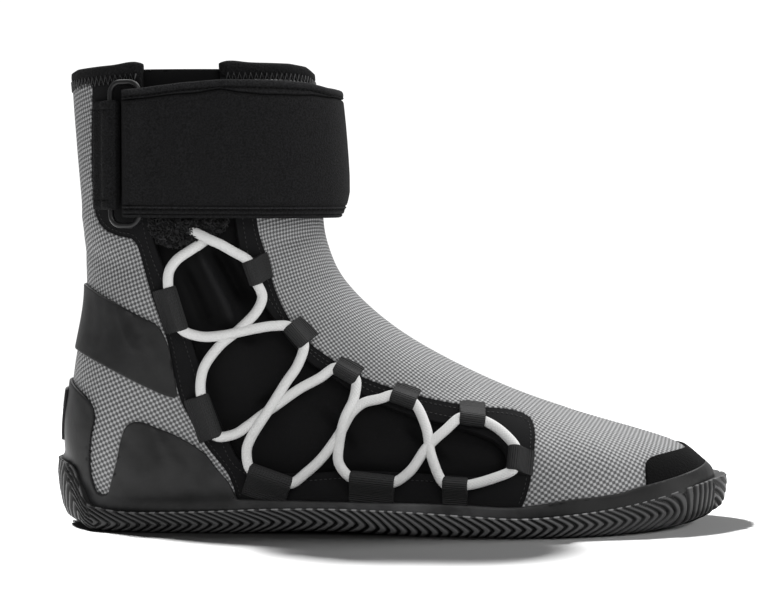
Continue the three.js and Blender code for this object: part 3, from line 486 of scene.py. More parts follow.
def flat_grid():
    """The form flattened as a pattern cutter would, in millimetres, with its seam down the back"""
    i_lines = np.append(np.arange(8, FORM.shape[0] - 1, 6), FORM.shape[0] - 1)
    j_lines = np.arange(0, AROUND + 1, 4)
    ii, jj = np.meshgrid(i_lines, j_lines + HALF, indexing="ij")
    points = (on_form(FORM, ii, jj) + on_form(FORM_NORMALS, ii, jj)).reshape(-1, 3)
    n, m = ii.shape
    over = points[:, 2] > sole_top(points[:, 0]) - 9
    faces = []
    for a in range(n - 1):
        for b in range(m - 1):
            face = [a * m + b, (a + 1) * m + b, (a + 1) * m + b + 1, a * m + b + 1]
            if over[face].any():
                faces.append(face)
    sheet = make_object("pattern", points, faces)
    mesh = sheet.data
    mesh.uv_layers.new(name="UVMap")
    bpy.ops.object.select_all(action="DESELECT")
    bpy.context.view_layer.objects.active = sheet
    sheet.select_set(True)
    bpy.ops.object.mode_set(mode="EDIT")
    bpy.ops.mesh.select_all(action="SELECT")
    bpy.ops.uv.unwrap(method="MINIMUM_STRETCH", margin=0, iterations=30)
    bpy.ops.object.mode_set(mode="OBJECT")
    uv = np.zeros(len(mesh.loops) * 2)
    mesh.uv_layers[0].data.foreach_get("uv", uv)
    uv = uv.reshape(-1, 2)
    real, flat = 0.0, 0.0
    grid = np.full((n * m, 2), np.nan)
    for polygon in mesh.polygons:
        loops = list(polygon.loop_indices)
        grid[list(polygon.vertices)] = uv[loops]
        a = uv[loops]
        flat += 0.5 * abs(np.sum(a[:, 0] * np.roll(a[:, 1], -1) - np.roll(a[:, 0], -1) * a[:, 1]))
        real += polygon.area * 1e6
    bpy.data.objects.remove(sheet)
    grid *= math.sqrt(real / flat)
    # The toe end of the outer side lies along the pattern's first direction
    away = 1e3 * (points[:, 1] > 0) + 1e3 * np.isnan(grid[:, 0])
    near = np.hypot(points[:, 0] - 215, points[:, 2] - 28) + away
    k = int(near.argmin())
    ahead = grid[k - 2 * m] - grid[k + 2 * m]
    up = grid[k + 1] - grid[k - 1]
    up *= np.sign(points[k + 1, 2] - points[k - 1, 2])
    turn = math.atan2(ahead[1], ahead[0])
    cos, sin = math.cos(turn), math.sin(turn)
    flip = np.sign(up @ (-sin, cos))
    grid = grid @ np.array([[cos, -sin * flip], [sin, cos * flip]])
    missing = np.isnan(grid[:, 0])
    grid[missing] = 0
    return i_lines, j_lines, grid.reshape(n, m, 2)


def flat_pattern(verts, faces):
    """Places on the pattern of a sheet's corners, face by face"""
    i_lines, j_lines, grid = flat_grid()
    rows = np.interp(verts[:, 0], i_lines, np.arange(len(i_lines)))
    out = []
    for face in faces:
        j = verts[face, 1]
        j = j[0] + (j - j[0] + HALF) % AROUND - HALF
        j = j - HALF if j.mean() % AROUND >= HALF else j + AROUND - HALF
        if j.mean() > AROUND:
            j = j - AROUND
        columns = np.clip(j, 0, AROUND) / 4
        i = rows[face]
        i0 = np.minimum(i.astype(int), len(i_lines) - 2)
        j0 = np.minimum(columns.astype(int), len(j_lines) - 2)
        a, b = (i - i0)[:, None], (columns - j0)[:, None]
        out.append((grid[i0, j0] * (1 - b) + grid[i0, j0 + 1] * b) * (1 - a)
                   + (grid[i0 + 1, j0] * (1 - b) + grid[i0 + 1, j0 + 1] * b) * a)
    return np.vstack(out)


def no_relief(points, outer):
    return np.zeros(len(points))


def layer(name, inside, low, high, rounding, step, relief=no_relief, pattern=False, rows=None):
    """One sewn or glued layer: the form cut to an outline, between two offsets, with rounded edges"""
    verts, faces = cut_form(inside, step, rows)
    base = on_form(FORM, verts[:, 0], verts[:, 1])
    normal = on_form(FORM_NORMALS, verts[:, 0], verts[:, 1])
    normal /= np.linalg.norm(normal, axis=1, keepdims=True)
    j = verts[:, 1] % AROUND
    shift = relief(base, (j > 0) & (j < HALF))[:, None]
    room = on_form(FORM_ROOM[..., None], verts[:, 0], verts[:, 1])
    bottom = base + normal * np.maximum(low + shift, -room)
    top = base + normal * (np.maximum(high + shift, -room))
    follows, leads = rims_of(faces)
    edge = [v for v in follows if v in leads]
    inward = np.zeros_like(base)
    for v in edge:
        along = base[follows[v]] - base[leads[v]]
        way = np.cross(normal[v], along)
        inward[v] = way / (np.linalg.norm(way) + 1e-9)
    count = len(base)
    points = [top + inward * rounding, bottom]
    position = {v: k for k, v in enumerate(edge)}
    edge = np.array(edge, int)
    down = top[edge] - normal[edge] * rounding
    bevel = top[edge] - normal[edge] * 0.3 * rounding + inward[edge] * 0.3 * rounding
    points += [bevel, down]
    solid = [list(f) for f in faces]
    tops = len(solid)
    solid += [[v + count for v in reversed(f)] for f in faces]
    for v, w in follows.items():
        if v not in position or w not in position:
            continue
        a, b = position[v], position[w]
        chain_v = [v, 2 * count + a, 2 * count + len(edge) + a, count + v]
        chain_w = [w, 2 * count + b, 2 * count + len(edge) + b, count + w]
        for k in range(3):
            solid.append([chain_v[k], chain_v[k + 1], chain_w[k + 1], chain_w[k]])
    all_points = np.vstack(points)
    uvs = None
    if pattern:
        flat = flat_pattern(verts, faces)
        loops = sum(len(f) for f in solid)
        uvs = np.zeros((loops, 2))
        uvs[:len(flat)] = flat
        by_vertex = {}
        k = 0
        for face in faces:
            for v in face:
                by_vertex[v] = flat[k]
                k += 1
        for face in solid[tops:]:
            for v in face:
                home = v if v < count else v - count
                if v >= 2 * count:
                    home = edge[(v - 2 * count) % len(edge)]
                uvs[k] = by_vertex[int(home)]
                k += 1
    return make_object(name, all_points, solid, uvs)


# An inward offset is held back in the small sections of the toe
FORM_ROOM = np.repeat(
    0.45 * np.linalg.norm(FORM[:, 0] - FORM[:, HALF], axis=1)[:, None], AROUND, axis=1)


# Upper: a hollow bootee of 3 mm neoprene with a black knit face on both sides, glued over a last. It is
# open at the collar and along the throat of the outer side.
WALL = 3.0
THROAT = smooth_line([
    [0.139, 2.2], [0.139, 1.86], [0.151, 1.273], [0.166, 1.121], [0.182, 1.019], [0.205, 0.83],
    [0.233, 0.586], [0.259, 0.407], [0.279, 0.3], [0.304, 0.262], [0.358, 0.247],
    [0.441, 0.262], [0.575, 0.252], [0.625, 0.246], [0.657, 0.262], [0.664, 0.31],
    [0.657, 0.37], [0.629, 0.414], [0.593, 0.446], [0.528, 0.492], [0.44, 0.597],
    [0.411, 0.653], [0.384, 0.699], [0.352, 0.797], [0.326, 0.896], [0.297, 1.025], [0.284, 1.12],
    [0.277, 1.231], [0.254, 1.86], [0.254, 2.2],
])
EYESTAY = smooth_line([
    [0.07, 2.2], [0.069, 1.322], [0.083, 1.256], [0.105, 1.228], [0.127, 1.211], [0.143, 1.089],
    [0.153, 0.99], [0.175, 0.798], [0.193, 0.562], [0.207, 0.481], [0.232, 0.36], [0.264, 0.241],
    [0.278, 0.12], [0.433, 0.115], [0.682, 0.105], [0.694, 0.2], [0.703, 0.35],
    [0.705, 0.42], [0.7, 0.468], [0.676, 0.497], [0.612, 0.52], [0.54, 0.562], [0.46, 0.638],
    [0.409, 0.72], [0.361, 0.835], [0.329, 1.002], [0.319, 1.118], [0.304, 1.272], [0.301, 2.2],
])
SOLE_TOP = np.array([
    [-0.05, 0.277], [0.012, 0.275], [0.029, 0.255], [0.038, 0.2], [0.052, 0.112], [0.08, 0.093],
    [0.11, 0.083], [0.166, 0.084], [0.256, 0.093], [0.305, 0.1], [0.408, 0.105], [0.511, 0.099],
    [0.579, 0.09], [0.661, 0.078], [0.701, 0.079], [0.75, 0.09], [0.82, 0.112], [0.856, 0.129],
    [0.893, 0.152], [0.932, 0.176], [0.961, 0.191], [0.978, 0.199], [1.05, 0.2],
])
sole_top_line = smooth_line(SOLE_TOP, closed=False)


def sole_top(x):
    return np.interp(x, sole_top_line[:, 0], sole_top_line[:, 1])


def below_collar(drop):
    z = COLLAR_Z - drop
    front, back, corner = 0.377 * LENGTH, 0.029 * LENGTH, 12.0
    steps = [[front + 5, z - 9], [front + 2, z - 3.6], [front - 1.5, z - 0.7], [front - 7, z],
             [back + 32, z - 0.3], [back + 14, z - 1.3], [back + 0.3 * corner, z - 2.0],
             [back - 0.1 * corner, z - 3.4], [back - 0.33 * corner, z - 8]]
    return np.array([[-60, -60], [345, -60], [345, z - 24], *steps, [-60, z - 24]], float)


def away_from(points, outer, outline, margin=0.0):
    """Distance outside an outline that is there on the outer side only"""
    return np.where(outer, -within(outline, points) - margin, 1e3)


def wall_zone(points, outer):
    return np.minimum(within(below_collar(0), points), away_from(points, outer, THROAT))


knit, tree, surface = new_material("neoprene_knit", 0.9, 0.14, (0.0065, 0.0065, 0.007))
add_bump(tree, surface, grain(tree, 2600.0, 3.0), 0.5, 0.0003)

upper = layer("upper_neoprene", wall_zone, -WALL, 0.0, 0.8, 2)
finish_piece(upper, knit, "neoprene", "upper")


# Textured skin: a grey coated face of small raised bumps, laminated over the neoprene outside the
# lacing. It covers the whole inner side too.
SKIN = 1.2
BINDING_WIDTH = 7.0


def skin_zone(points, outer):
    return np.minimum.reduce([
        within(below_collar(BINDING_WIDTH - 2), points),
        away_from(points, outer, EYESTAY),
        points[:, 2] - sole_top(points[:, 0]) + 2,
    ])


def bump_height(tree, uv, pitch_u, pitch_v):
    """Staggered round bumps on a pattern's millimetres, from 0 in the gaps to 1 on top"""
    split = add_node(tree, "ShaderNodeSeparateXYZ", {"Vector": uv})
    waves = []
    for axis, pitch in (("X", pitch_u), ("Y", pitch_v)):
        turn = add_node(tree, "ShaderNodeMath", {0: split.outputs[axis], 1: 2 * math.pi / pitch},
                        operation="MULTIPLY")
        waves.append(add_node(tree, "ShaderNodeMath", {0: turn.outputs[0]}, operation="COSINE"))
    both = add_node(tree, "ShaderNodeMath", {0: waves[0].outputs[0], 1: waves[1].outputs[0]},
                    operation="MULTIPLY")
    return add_node(tree, "ShaderNodeMath", {0: both.outputs[0], 1: 0.5, 2: 0.5},
                    operation="MULTIPLY_ADD").outputs[0]


# Creases of the skin over the ankle, the instep and the toes
SKIN_CREASES = [
    ([(86, 125), (98, 121), (109, 124)], 3.0, 3.5, -0.8),
    ([(88, 112), (100, 110), (113, 112)], 3.5, 4.0, 0.6),
    ([(94, 102), (106, 100), (118, 102)], 3.0, 3.5, -0.6), ([(100, 92), (112, 88), (124, 88)], 3.5, 4.0, 0.4),
    ([(12, 118), (24, 112), (36, 108)], 3.0, 4.0, -0.6), ([(10, 132), (20, 128), (30, 124)], 3.0, 4.0, 0.5),
    ([(204, 46), (212, 36), (218, 22)], 3.0, 5.0, -0.5), ([(222, 42), (230, 32), (234, 22)], 3.0, 5.0, 0.4),
    ([(40, 60), (48, 52), (54, 42)], 2.5, 3.5, 0.4), ([(150, 62), (164, 58), (178, 56)], 3.0, 4.0, -0.35),
]


def folded(points, folds):
    """Soft ridges and troughs along given side-view lines. Each widens from its first end."""
    shift = np.zeros(len(points))
    for line, narrow, wide, height in folds:
        line = np.array(line, float)
        nearest, along = np.full(len(points), 1e9), np.zeros(len(points))
        for k in range(len(line) - 1):
            a, d = line[k], line[k + 1] - line[k]
            t = np.clip(((points[:, 0] - a[0]) * d[0] + (points[:, 2] - a[1]) * d[1]) / (d @ d), 0, 1)
            gap = np.hypot(points[:, 0] - a[0] - t * d[0], points[:, 2] - a[1] - t * d[1])
            closer = gap < nearest
            nearest = np.where(closer, gap, nearest)
            along = np.where(closer, (k + t) / (len(line) - 1), along)
        width = narrow + (wide - narrow) * along
        fading = np.clip(0.25 + 4 * np.minimum(along, 1 - along), 0, 1)
        shift += height * np.exp(-(nearest / width) ** 2) * fading
    return shift


def skin_relief(points, outer):
    crease = folded(points, SKIN_CREASES)
    edge = np.clip(-within(EYESTAY, points) / 3, 0.2, 1)
    return np.where(outer, crease * edge, 0.6 * crease)


PATTERN_TURN = math.radians(-20)
skin_material, tree, surface = new_material("textured_skin", 0.42)
pattern = add_node(tree, "ShaderNodeTexCoord").outputs["UV"]
turned = add_node(tree, "ShaderNodeMapping", {"Vector": pattern, "Rotation": (0, 0, PATTERN_TURN)})
raised = bump_height(tree, turned.outputs[0], 2.45, 2.35)
# Its grey follows the bumps' height: painted shade in the gaps between them and painted highlight on their
# tops.
tone = colour_ramp(tree, raised, [(0.35, (0.055, 0.0555, 0.0565)), (0.8, (0.36, 0.363, 0.368))])
tree.links.new(tone, surface.inputs["Base Color"])
add_bump(tree, surface, raised, 0.8, 0.0005)

skin = layer("skin", skin_zone, -0.3, SKIN, 0.4, 2, skin_relief, pattern=True)
finish_piece(skin, skin_material, "skin", "upper")


# Eyestay: a black stretch panel set into the skin, all round the throat. The lace loops are sewn to it.
def eyestay_zone(points, outer):
    return np.where(outer, np.minimum.reduce([
        within(below_collar(BINDING_WIDTH - 2), points),
        within(EYESTAY, points) + 0.2,
        -within(THROAT, points) + 0.2,
    ]), -1e3)


eyestay = layer("eyestay", eyestay_zone, -0.3, 0.8, 0.35, 1)
finish_piece(eyestay, knit, "neoprene", "eyestay")


# Tongue: a stretch gusset behind the throat, sewn in along its edges, so that no water gets in
def tongue_zone(points, outer):
    return np.where(outer, np.minimum(within(below_collar(1.5), points), within(THROAT, points) + 9), -1e3)


# Middles of the gusset's bulges and folds, in the side view: place, reach and height
BULGES = [
    (79, 68, 11, 13, 0.3, 2.3), (104, 44, 12, 11, 0.4, 2.3), (136.5, 35, 13, 8.5, 0, 2.0),
    (177, 34.5, 13, 5.5, -0.2, 1.7), (118, 33, 7, 6, 0, 1.2), (158, 33, 7, 6, 0, 1.0),
]
FOLDS = [
    ([(61.5, 119), (67, 108), (73, 96), (79, 82)], 1.6, 3.0, 4.6),
    ([(69, 121), (76, 108), (84, 94)], 2.2, 3.2, -4.2),
    ([(55, 112), (62, 98), (68, 84)], 1.8, 3.0, -2.4),
    ([(70, 84), (80, 82), (88, 80)], 2.0, 2.5, -1.4),
    ([(86, 52), (96, 58), (106, 60)], 1.8, 2.5, -1.6),
    ([(148, 46), (156, 38), (164, 30)], 2.0, 2.5, -1.6),
    ([(112, 52), (121, 45), (126, 34)], 2.0, 2.5, -1.4),
]


def tongue_relief(points, outer):
    shift = folded(points, FOLDS)
    for x, z, wide, tall, turn, height in BULGES:
        dx, dz = points[:, 0] - x, points[:, 2] - z
        u = (dx * math.cos(turn) + dz * math.sin(turn)) / wide
        v = (dz * math.cos(turn) - dx * math.sin(turn)) / tall
        shift += height * np.exp(-(u ** 2 + v ** 2) ** 1.2)
    rim = np.clip((within(THROAT, points) + 1) / 5, 0, 1)
    return shift * rim * rim * (3 - 2 * rim)


gusset, tree, surface = new_material("gusset_knit", 0.8, 0.12, (0.0045, 0.0045, 0.0048))
add_bump(tree, surface, grain(tree, 1800.0), 0.35, 0.0003)
tongue = layer("tongue", tongue_zone, -5.3, -3.3, 0.6, 1, tongue_relief)
# The gusset's colour is scaled by its folds: painted light on their ridges and painted shade in their
# troughs.
fold_shaded_gusset = painted_shade_copy(gusset)
corners = np.array([tuple(v.co) for v in tongue.data.vertices]) * 1000 + MIDDLE
shade_tones = np.clip(1 + 0.3 * folded(corners, FOLDS), 0.35, 2.4)
set_attribute(tongue, "tone", shade_tones)
finish_piece(tongue, fold_shaded_gusset, "neoprene", "tongue")


# Outsole: one rubber moulding with a herringbone band round its side and a cut tread underneath
TREAD = np.array([
    [-0.05, 0.01], [0.035, 0], [0.27, 0], [0.36, 0.012], [0.44, 0.012], [0.53, 0], [0.82, 0],
    [0.86, 0.004], [0.9, 0.012], [0.94, 0.024], [0.98, 0.048], [1.05, 0.08],
]) * (LENGTH, HEIGHT)
SOLE_OUTLINE = np.array([
    [0, 0], [0.007, -0.125], [0.026, -0.235], [0.075, -0.345], [0.165, -0.397], [0.28, -0.424],
    [0.385, -0.451], [0.49, -0.495], [0.596, -0.543], [0.684, -0.568], [0.765, -0.55],
    [0.842, -0.478], [0.905, -0.38], [0.956, -0.258], [0.993, -0.1], [1.0035, 0.055], [0.988, 0.195],
    [0.947, 0.315], [0.895, 0.408], [0.825, 0.473], [0.744, 0.508], [0.66, 0.516], [0.56, 0.473],
    [0.456, 0.424], [0.35, 0.397], [0.245, 0.386], [0.158, 0.38], [0.077, 0.337], [0.026, 0.228],
    [0.007, 0.12],
]) * (LENGTH, BALL_WIDTH)
SOLE_STATIONS = 2000
RIB_PITCH = 4.3
RIB_DEPTH = 1.15


def sole_edge():
    """Evenly spaced points along the outsole's outline with inward directions"""
    n = len(SOLE_OUTLINE)
    fine = []
    for k in range(n):
        p0, p1, p2, p3 = (SOLE_OUTLINE[(k + d) % n] for d in (-1, 0, 1, 2))
        fine.append(spline_span(p0, p1, p2, p3, 40))
    fine = np.vstack(fine + [fine[0][:1]])
    run = run_along(fine)
    want = run[-1] * np.arange(SOLE_STATIONS) / SOLE_STATIONS
    points = np.stack([np.interp(want, run, fine[:, k]) for k in range(2)], axis=1)
    along = np.roll(points, -1, axis=0) - np.roll(points, 1, axis=0)
    along /= np.linalg.norm(along, axis=1, keepdims=True)
    return points, np.stack([-along[:, 1], along[:, 0]], axis=1), want, run[-1]


def rib_relief(run, whole, x, share, rise):
    """Depth of the herringbone at a place: its ribs point to the toe, up at the heel, and turn at the toe"""
    side = np.minimum(run, whole - run)
    lean = np.interp(x / LENGTH, [0, 0.3, 0.4, 0.48, 0.56, 0.66, 0.8, 0.885, 0.913, 0.93, 0.945, 1],
                     [1.6, 1.7, 1.3, 0.95, 1.0, 1.25, 1.4, 1.2, 0.6, 0.15, 0, 0])
    turn = np.interp(x / LENGTH, [0, 0.36, 0.44, 0.5, 0.57, 0.64, 0.75, 0.9, 0.97],
                     [0.4, 0.45, 0.42, 0.2, 0.2, 0.4, 0.55, 0.5, 0.3])
    middle = np.abs(share - turn) * rise
    left = np.linspace(0, whole / 2, 700)
    pitch = np.interp(left, [0, 20, 45, 62], [3.0, 3.1, 3.7, RIB_PITCH])
    count = np.concatenate([[0], np.cumsum(np.diff(left) / pitch[1:])])
    passed = np.interp(whole / 2 - side, left, count)
    band = lean * (np.sqrt(middle ** 2 + 0.3) + 0.06 * middle ** 2) / RIB_PITCH - passed
    tip = (share * rise - 0.5 * np.sqrt((left[-1] - side) ** 2 + 0.4)) / 3.6
    apex = np.interp(share, [0, 1], [32.0, 18.0])
    heel = (share * rise + 1.0 * np.sqrt((side - apex) ** 2 + 0.2)) / 4.0
    heel_part = np.clip((39 - side - 5 * share) / 1.5, 0, 1)
    toe_part = np.clip((side - left[-1] + 17 + 3 * share) / 1.2, 0, 1)
    cuts = []
    for phase in (band, heel, tip):
        groove = np.clip((0.5 - 0.5 * np.cos(2 * math.pi * phase) - 0.42) / 0.56, 0, 1)
        cuts.append(groove * groove * (3 - 2 * groove))
    return cuts[0] * (1 - heel_part) * (1 - toe_part) + cuts[1] * heel_part + cuts[2] * toe_part


edge_points, edge_inward, edge_run, edge_whole = sole_edge()
shares = np.concatenate([np.linspace(0, 0.16, 4, endpoint=False), np.linspace(0.16, 1, 24)])
inset_shares = np.interp(shares, [0, 0.05, 0.1, 0.16, 0.3, 0.55, 0.8, 1],
                         [0.42, 0.29, 0.2, 0.135, 0.075, 0.025, 0.0, 0.015])
low = np.interp(edge_points[:, 0], TREAD[:, 0], TREAD[:, 1])
rise = sole_top(edge_points[:, 0]) - low
# Each ring also has a groove value for the sole's colour and roughness: the depth of the herringbone, and 0
# along the top rim.
rings, grooves = [], []
for share, inset_share in zip(shares, inset_shares):
    relief = rib_relief(edge_run, edge_whole, edge_points[:, 0], share, rise)
    cut = RIB_DEPTH * relief * min(1, share / 0.08)
    flat = edge_points + edge_inward * (inset_share * rise + cut)[:, None]
    rings.append(np.column_stack([flat, low + share * rise]))
    grooves.append(0.25 + 0.75 * relief)
SOLE_LIP = [(0.25, 0.35, 0.8), (0.8, 0.6, 0.55), (1.5, 0.55, 0.3), (2.3, 0.1, 0.0), (8.0, -0.6, 0.0)]
for inset, lift, deep in SOLE_LIP:
    flat = edge_points + edge_inward * (inset + 0.5 * cut * (inset < 1))[:, None]
    rings.append(np.column_stack([flat, low + rise + lift - 0.6 * deep * relief]))
    grooves.append(0.25 * (inset > 1.4) + 0.75 * deep * relief)
for inset, lift in ((8.0, 1.5), (4.0, 0.0)):
    flat = edge_points + edge_inward * (0.42 * rise + inset)[:, None]
    rings.append(np.column_stack([flat, low + lift]))
    grooves.append(np.full(len(low), 0.25))
rings = rings[-1:] + rings[:-1]
grooves = grooves[-1:] + grooves[:-1]
points = np.vstack(rings)
outsole = make_object("outsole", points, ring_faces(len(rings), SOLE_STATIONS, closed=True))
set_attribute(outsole, "groove", np.concatenate(grooves))

def along_boot(tree):
    """0 at the heel and 1 at the toe"""
    coordinates = add_node(tree, "ShaderNodeTexCoord")
    split = add_node(tree, "ShaderNodeSeparateXYZ", {"Vector": coordinates.outputs["Object"]})
    share = add_node(tree, "ShaderNodeMapRange",
                     {"Value": split.outputs["X"], "From Min": -0.142, "From Max": 0.142})
    return share.outputs["Result"]


# The sole's colour by its groove value has painted shade, dark in the grooves, and a painted highlight, light
# along the top rim.
sole_rubber, tree, surface = new_material("sole_rubber", 0.5, 0.3)
depth = add_node(tree, "ShaderNodeAttribute", attribute_name="groove").outputs["Fac"]
groove_shade_and_rim_highlight = colour_ramp(tree, depth, [
    (0.0, (0.16, 0.16, 0.161)), (0.28, (0.037, 0.037, 0.0375)), (0.8, (0.002, 0.002, 0.002)),
])
# Painted light along the boot: the sole is lighter in the middle than at the heel and the toe.
SOLE_PAINTED_LIGHT = [(0, 0.2), (0.1, 0.35), (0.25, 0.75), (0.5, 1.15), (0.7, 1.0), (0.85, 0.5), (1, 0.25)]
painted_light_along = colour_ramp(tree, along_boot(tree), [(place, (grey, grey, grey)) for place, grey in SOLE_PAINTED_LIGHT])
painted_light_colour = add_node(tree, "ShaderNodeVectorMath", {0: groove_shade_and_rim_highlight, 1: painted_light_along}, operation="MULTIPLY")
painted_light_colour = add_node(tree, "ShaderNodeVectorMath", {0: painted_light_colour.outputs[0], "Scale": 2.0}, operation="SCALE")
tree.links.new(painted_light_colour.outputs[0], surface.inputs["Base Color"])
shine = add_node(tree, "ShaderNodeMapRange",
                 {"Value": depth, "From Max": 0.25, "To Min": 0.24, "To Max": 0.42})
tree.links.new(shine.outputs["Result"], surface.inputs["Roughness"])
add_bump(tree, surface, grain(tree, 400.0, 4.0), 0.2, 0.0005)
finish_piece(outsole, sole_rubber, "sole", "outsole")

# The tread fills the middle of the underside
x_lines = np.arange(0.02 * LENGTH, 0.985 * LENGTH, 1.0)
bottom = rings[1][:, :2]
tread_rows = []
for x in x_lines:
    sides = []
    for part in (bottom[bottom[:, 1] < 4], bottom[bottom[:, 1] >= 4]):
        order = np.argsort(part[:, 0])
        sides.append(np.interp(x, part[order, 0], part[order, 1]))
    y = np.linspace(sides[0] + 0.3, sides[1] - 0.3, 49)
    z = np.interp(x, TREAD[:, 0], TREAD[:, 1]) + 0.02
    wave = 0.5 + 0.5 * np.cos(2 * math.pi * (x + 1.6 * np.abs(((y + 60) % 16) - 8)) / 7.0)
    margin = np.clip((np.minimum(y - sides[0], sides[1] - y) - 4) / 1.5, 0, 1)
    groove = 1.4 * np.clip((wave - 0.55) * 4, 0, 1) * margin
    tread_rows.append(np.column_stack([np.full(49, x), y, z + groove]))
points = np.vstack(tread_rows)
faces = []
for a in range(len(tread_rows) - 1):
    for b in range(48):
        p = a * 49 + b
        faces.append([p, p + 1, p + 50, p + 49])
tread = make_object("tread", points, faces)
finish_piece(tread, sole_rubber, "sole", "outsole")


# Rand and heel counter: moulded rubber, glued over the skin above the outsole. The counter has two
# lobes on each side, with a slot between them.
RAND_TOP = [
    [-0.05, 0.62], [0.025, 0.619], [0.043, 0.587], [0.059, 0.552], [0.068, 0.515], [0.07, 0.463],
    [0.066, 0.412], [0.063, 0.337], [0.063, 0.262], [0.066, 0.206], [0.072, 0.163], [0.079, 0.156],
    [0.088, 0.164], [0.093, 0.206], [0.102, 0.295], [0.109, 0.393], [0.116, 0.442], [0.126, 0.461],
    [0.142, 0.458], [0.157, 0.44], [0.184, 0.41], [0.213, 0.365], [0.231, 0.327], [0.246, 0.271],
    [0.264, 0.214], [0.276, 0.149], [0.433, 0.141], [0.575, 0.138], [0.681, 0.13], [0.751, 0.156],
    [0.821, 0.175], [0.864, 0.203], [0.905, 0.222], [0.957, 0.247], [1.05, 0.254],
]
rand_top_line = smooth_line(RAND_TOP, closed=False)
RAND_OUTLINE = np.vstack([sole_top_line + (0, -1.0), rand_top_line[::-1]])
BELOW_RAND = np.vstack([[[-60, -60], [345, -60]], rand_top_line[::-1]])


def rand_zone(points, outer):
    return within(RAND_OUTLINE, points)


rubber, tree, surface = new_material("rand_rubber", 0.44, 0.25)
cloud = grain(tree, 70.0, 5.0)
# Painted light along the boot: the rand is lighter in the middle than at the heel and darkest at the toe. The
# cloud noise varies its tone at random.
RAND_PAINTED_LIGHT = [(0.16, 0.0075), (0.3, 0.018), (0.42, 0.042), (0.6, 0.046), (0.74, 0.0055), (0.86, 0.0018)]
painted_light_along = colour_ramp(tree, along_boot(tree), [
    (0, (0.014, 0.014, 0.0145)),
    *((place, (grey, grey, grey * 1.02)) for place, grey in RAND_PAINTED_LIGHT),
    (1, (0.006, 0.006, 0.006)),
])
dusty = add_node(tree, "ShaderNodeMapRange",
                 {"Value": cloud, "From Min": 0.35, "From Max": 0.7, "To Min": 0.6, "To Max": 1.9})
painted_light_colour = add_node(tree, "ShaderNodeVectorMath", {0: painted_light_along, "Scale": dusty.outputs["Result"]}, operation="SCALE")
tree.links.new(painted_light_colour.outputs[0], surface.inputs["Base Color"])
add_bump(tree, surface, cloud, 0.35, 0.0012)

sole_plan = edge_points[::8]
RAND_CREASES = [
    ([(43.5, 46), (45, 38), (47, 31)], 1.0, 2.0, -0.5), ([(47, 40), (51, 33), (57, 27)], 2.0, 3.0, 0.45),
    ([(30, 42), (36, 34), (40, 24)], 3.0, 4.0, -0.35), ([(54, 34), (60, 27), (64, 20)], 1.6, 2.6, -0.35),
    ([(6, 52), (8, 40), (10, 30)], 3.0, 4.0, 0.4), ([(96, 12.6), (112, 13.2), (132, 12.6)], 1.2, 1.6, 0.3),
    ([(205, 15), (214, 16.5), (224, 17.5)], 1.2, 2.0, 0.35),
    ([(228, 17), (240, 20), (252, 22)], 1.0, 1.6, -0.3),
]


# Glued layers start just under the skin's face
GLUE_FACE = 0.8
RAND_FACE = 2.7
RAND_SEAT = 2.5
SOLE_LEDGE = 1.3
SWELL_HEIGHT = 6.5
NOSE_START = 258


def rand_relief(points, outer):
    """The rand swells at its foot, so that it meets the sole just inside its edge"""
    inside = within(sole_plan, points[:, [0, 2, 1]])
    over = points[:, 2] - sole_top(points[:, 0])
    share = np.clip(1 - over / SWELL_HEIGHT, 0, 1)
    share = share * share * (3 - 2 * share)
    nose = np.clip((points[:, 0] - NOSE_START) / 16, 0, 1)
    swell = np.clip(inside - RAND_FACE - SOLE_LEDGE, 0, 5) * share * (1 - 0.85 * nose)
    return swell + folded(points, RAND_CREASES) * (over > 1) - 0.3 * nose


rand = layer("rand", rand_zone, GLUE_FACE, RAND_FACE, 0.45, 1, rand_relief, rows=(0, FORM.shape[0] - 60))
# Its hidden foot ends inside the sole
for vertex in rand.data.vertices:
    foot = (sole_top(vertex.co.x * 1000 + MIDDLE[0]) - RAND_SEAT) * 0.001
    vertex.co.z = max(vertex.co.z, foot)
finish_piece(rand, rubber, "rubber", "rand")


# Heel band: a rubber strap moulded round the back of the ankle, from one side of the throat
HEEL_BAND = smooth_line([
    [-0.05, 1.06], [0.045, 1.026], [0.082, 0.976], [0.114, 0.93], [0.141, 0.891], [0.16, 0.863],
    [0.175, 0.79], [0.191, 0.558], [0.171, 0.573], [0.145, 0.606], [0.105, 0.662], [0.064, 0.716],
    [0.034, 0.748], [-0.05, 0.78],
])


def heel_band_zone(points, outer):
    return within(HEEL_BAND, points)


def band_relief(points, outer):
    crease = folded(points, [
        ([(30, 93.5), (31.5, 88), (33.5, 82), (36, 77), (38.5, 75)], 0.75, 1.0, 0.55),
        ([(33.5, 92), (36, 85), (39, 80)], 1.6, 2.6, -0.55),
        ([(26, 95), (26.5, 86), (26, 76)], 1.4, 2.0, 0.3),
        ([(18, 100), (19, 90), (18, 80)], 2.0, 3.0, -0.3),
        ([(42, 80), (46, 74), (48, 66)], 2.0, 3.0, 0.35),
    ])
    return np.where(outer, crease, 0.4 * crease)


heel_band = layer("heel_band", heel_band_zone, GLUE_FACE, 2.5, 0.45, 1, band_relief,
                  rows=(120, FORM.shape[0] - 20))
finish_piece(heel_band, rubber, "rubber", "heel_band")


# Toe patch: a matt black cap piece over the toes, above the rand
TOE_PATCH = smooth_line([
    [0.866, 0.1], [0.866, 0.286], [0.871, 0.296], [0.9, 0.308], [0.935, 0.313], [1.05, 0.318],
    [1.05, 0.1],
])


def toe_patch_zone(points, outer):
    return np.minimum(within(TOE_PATCH, points), -within(BELOW_RAND, points) + 0.6)


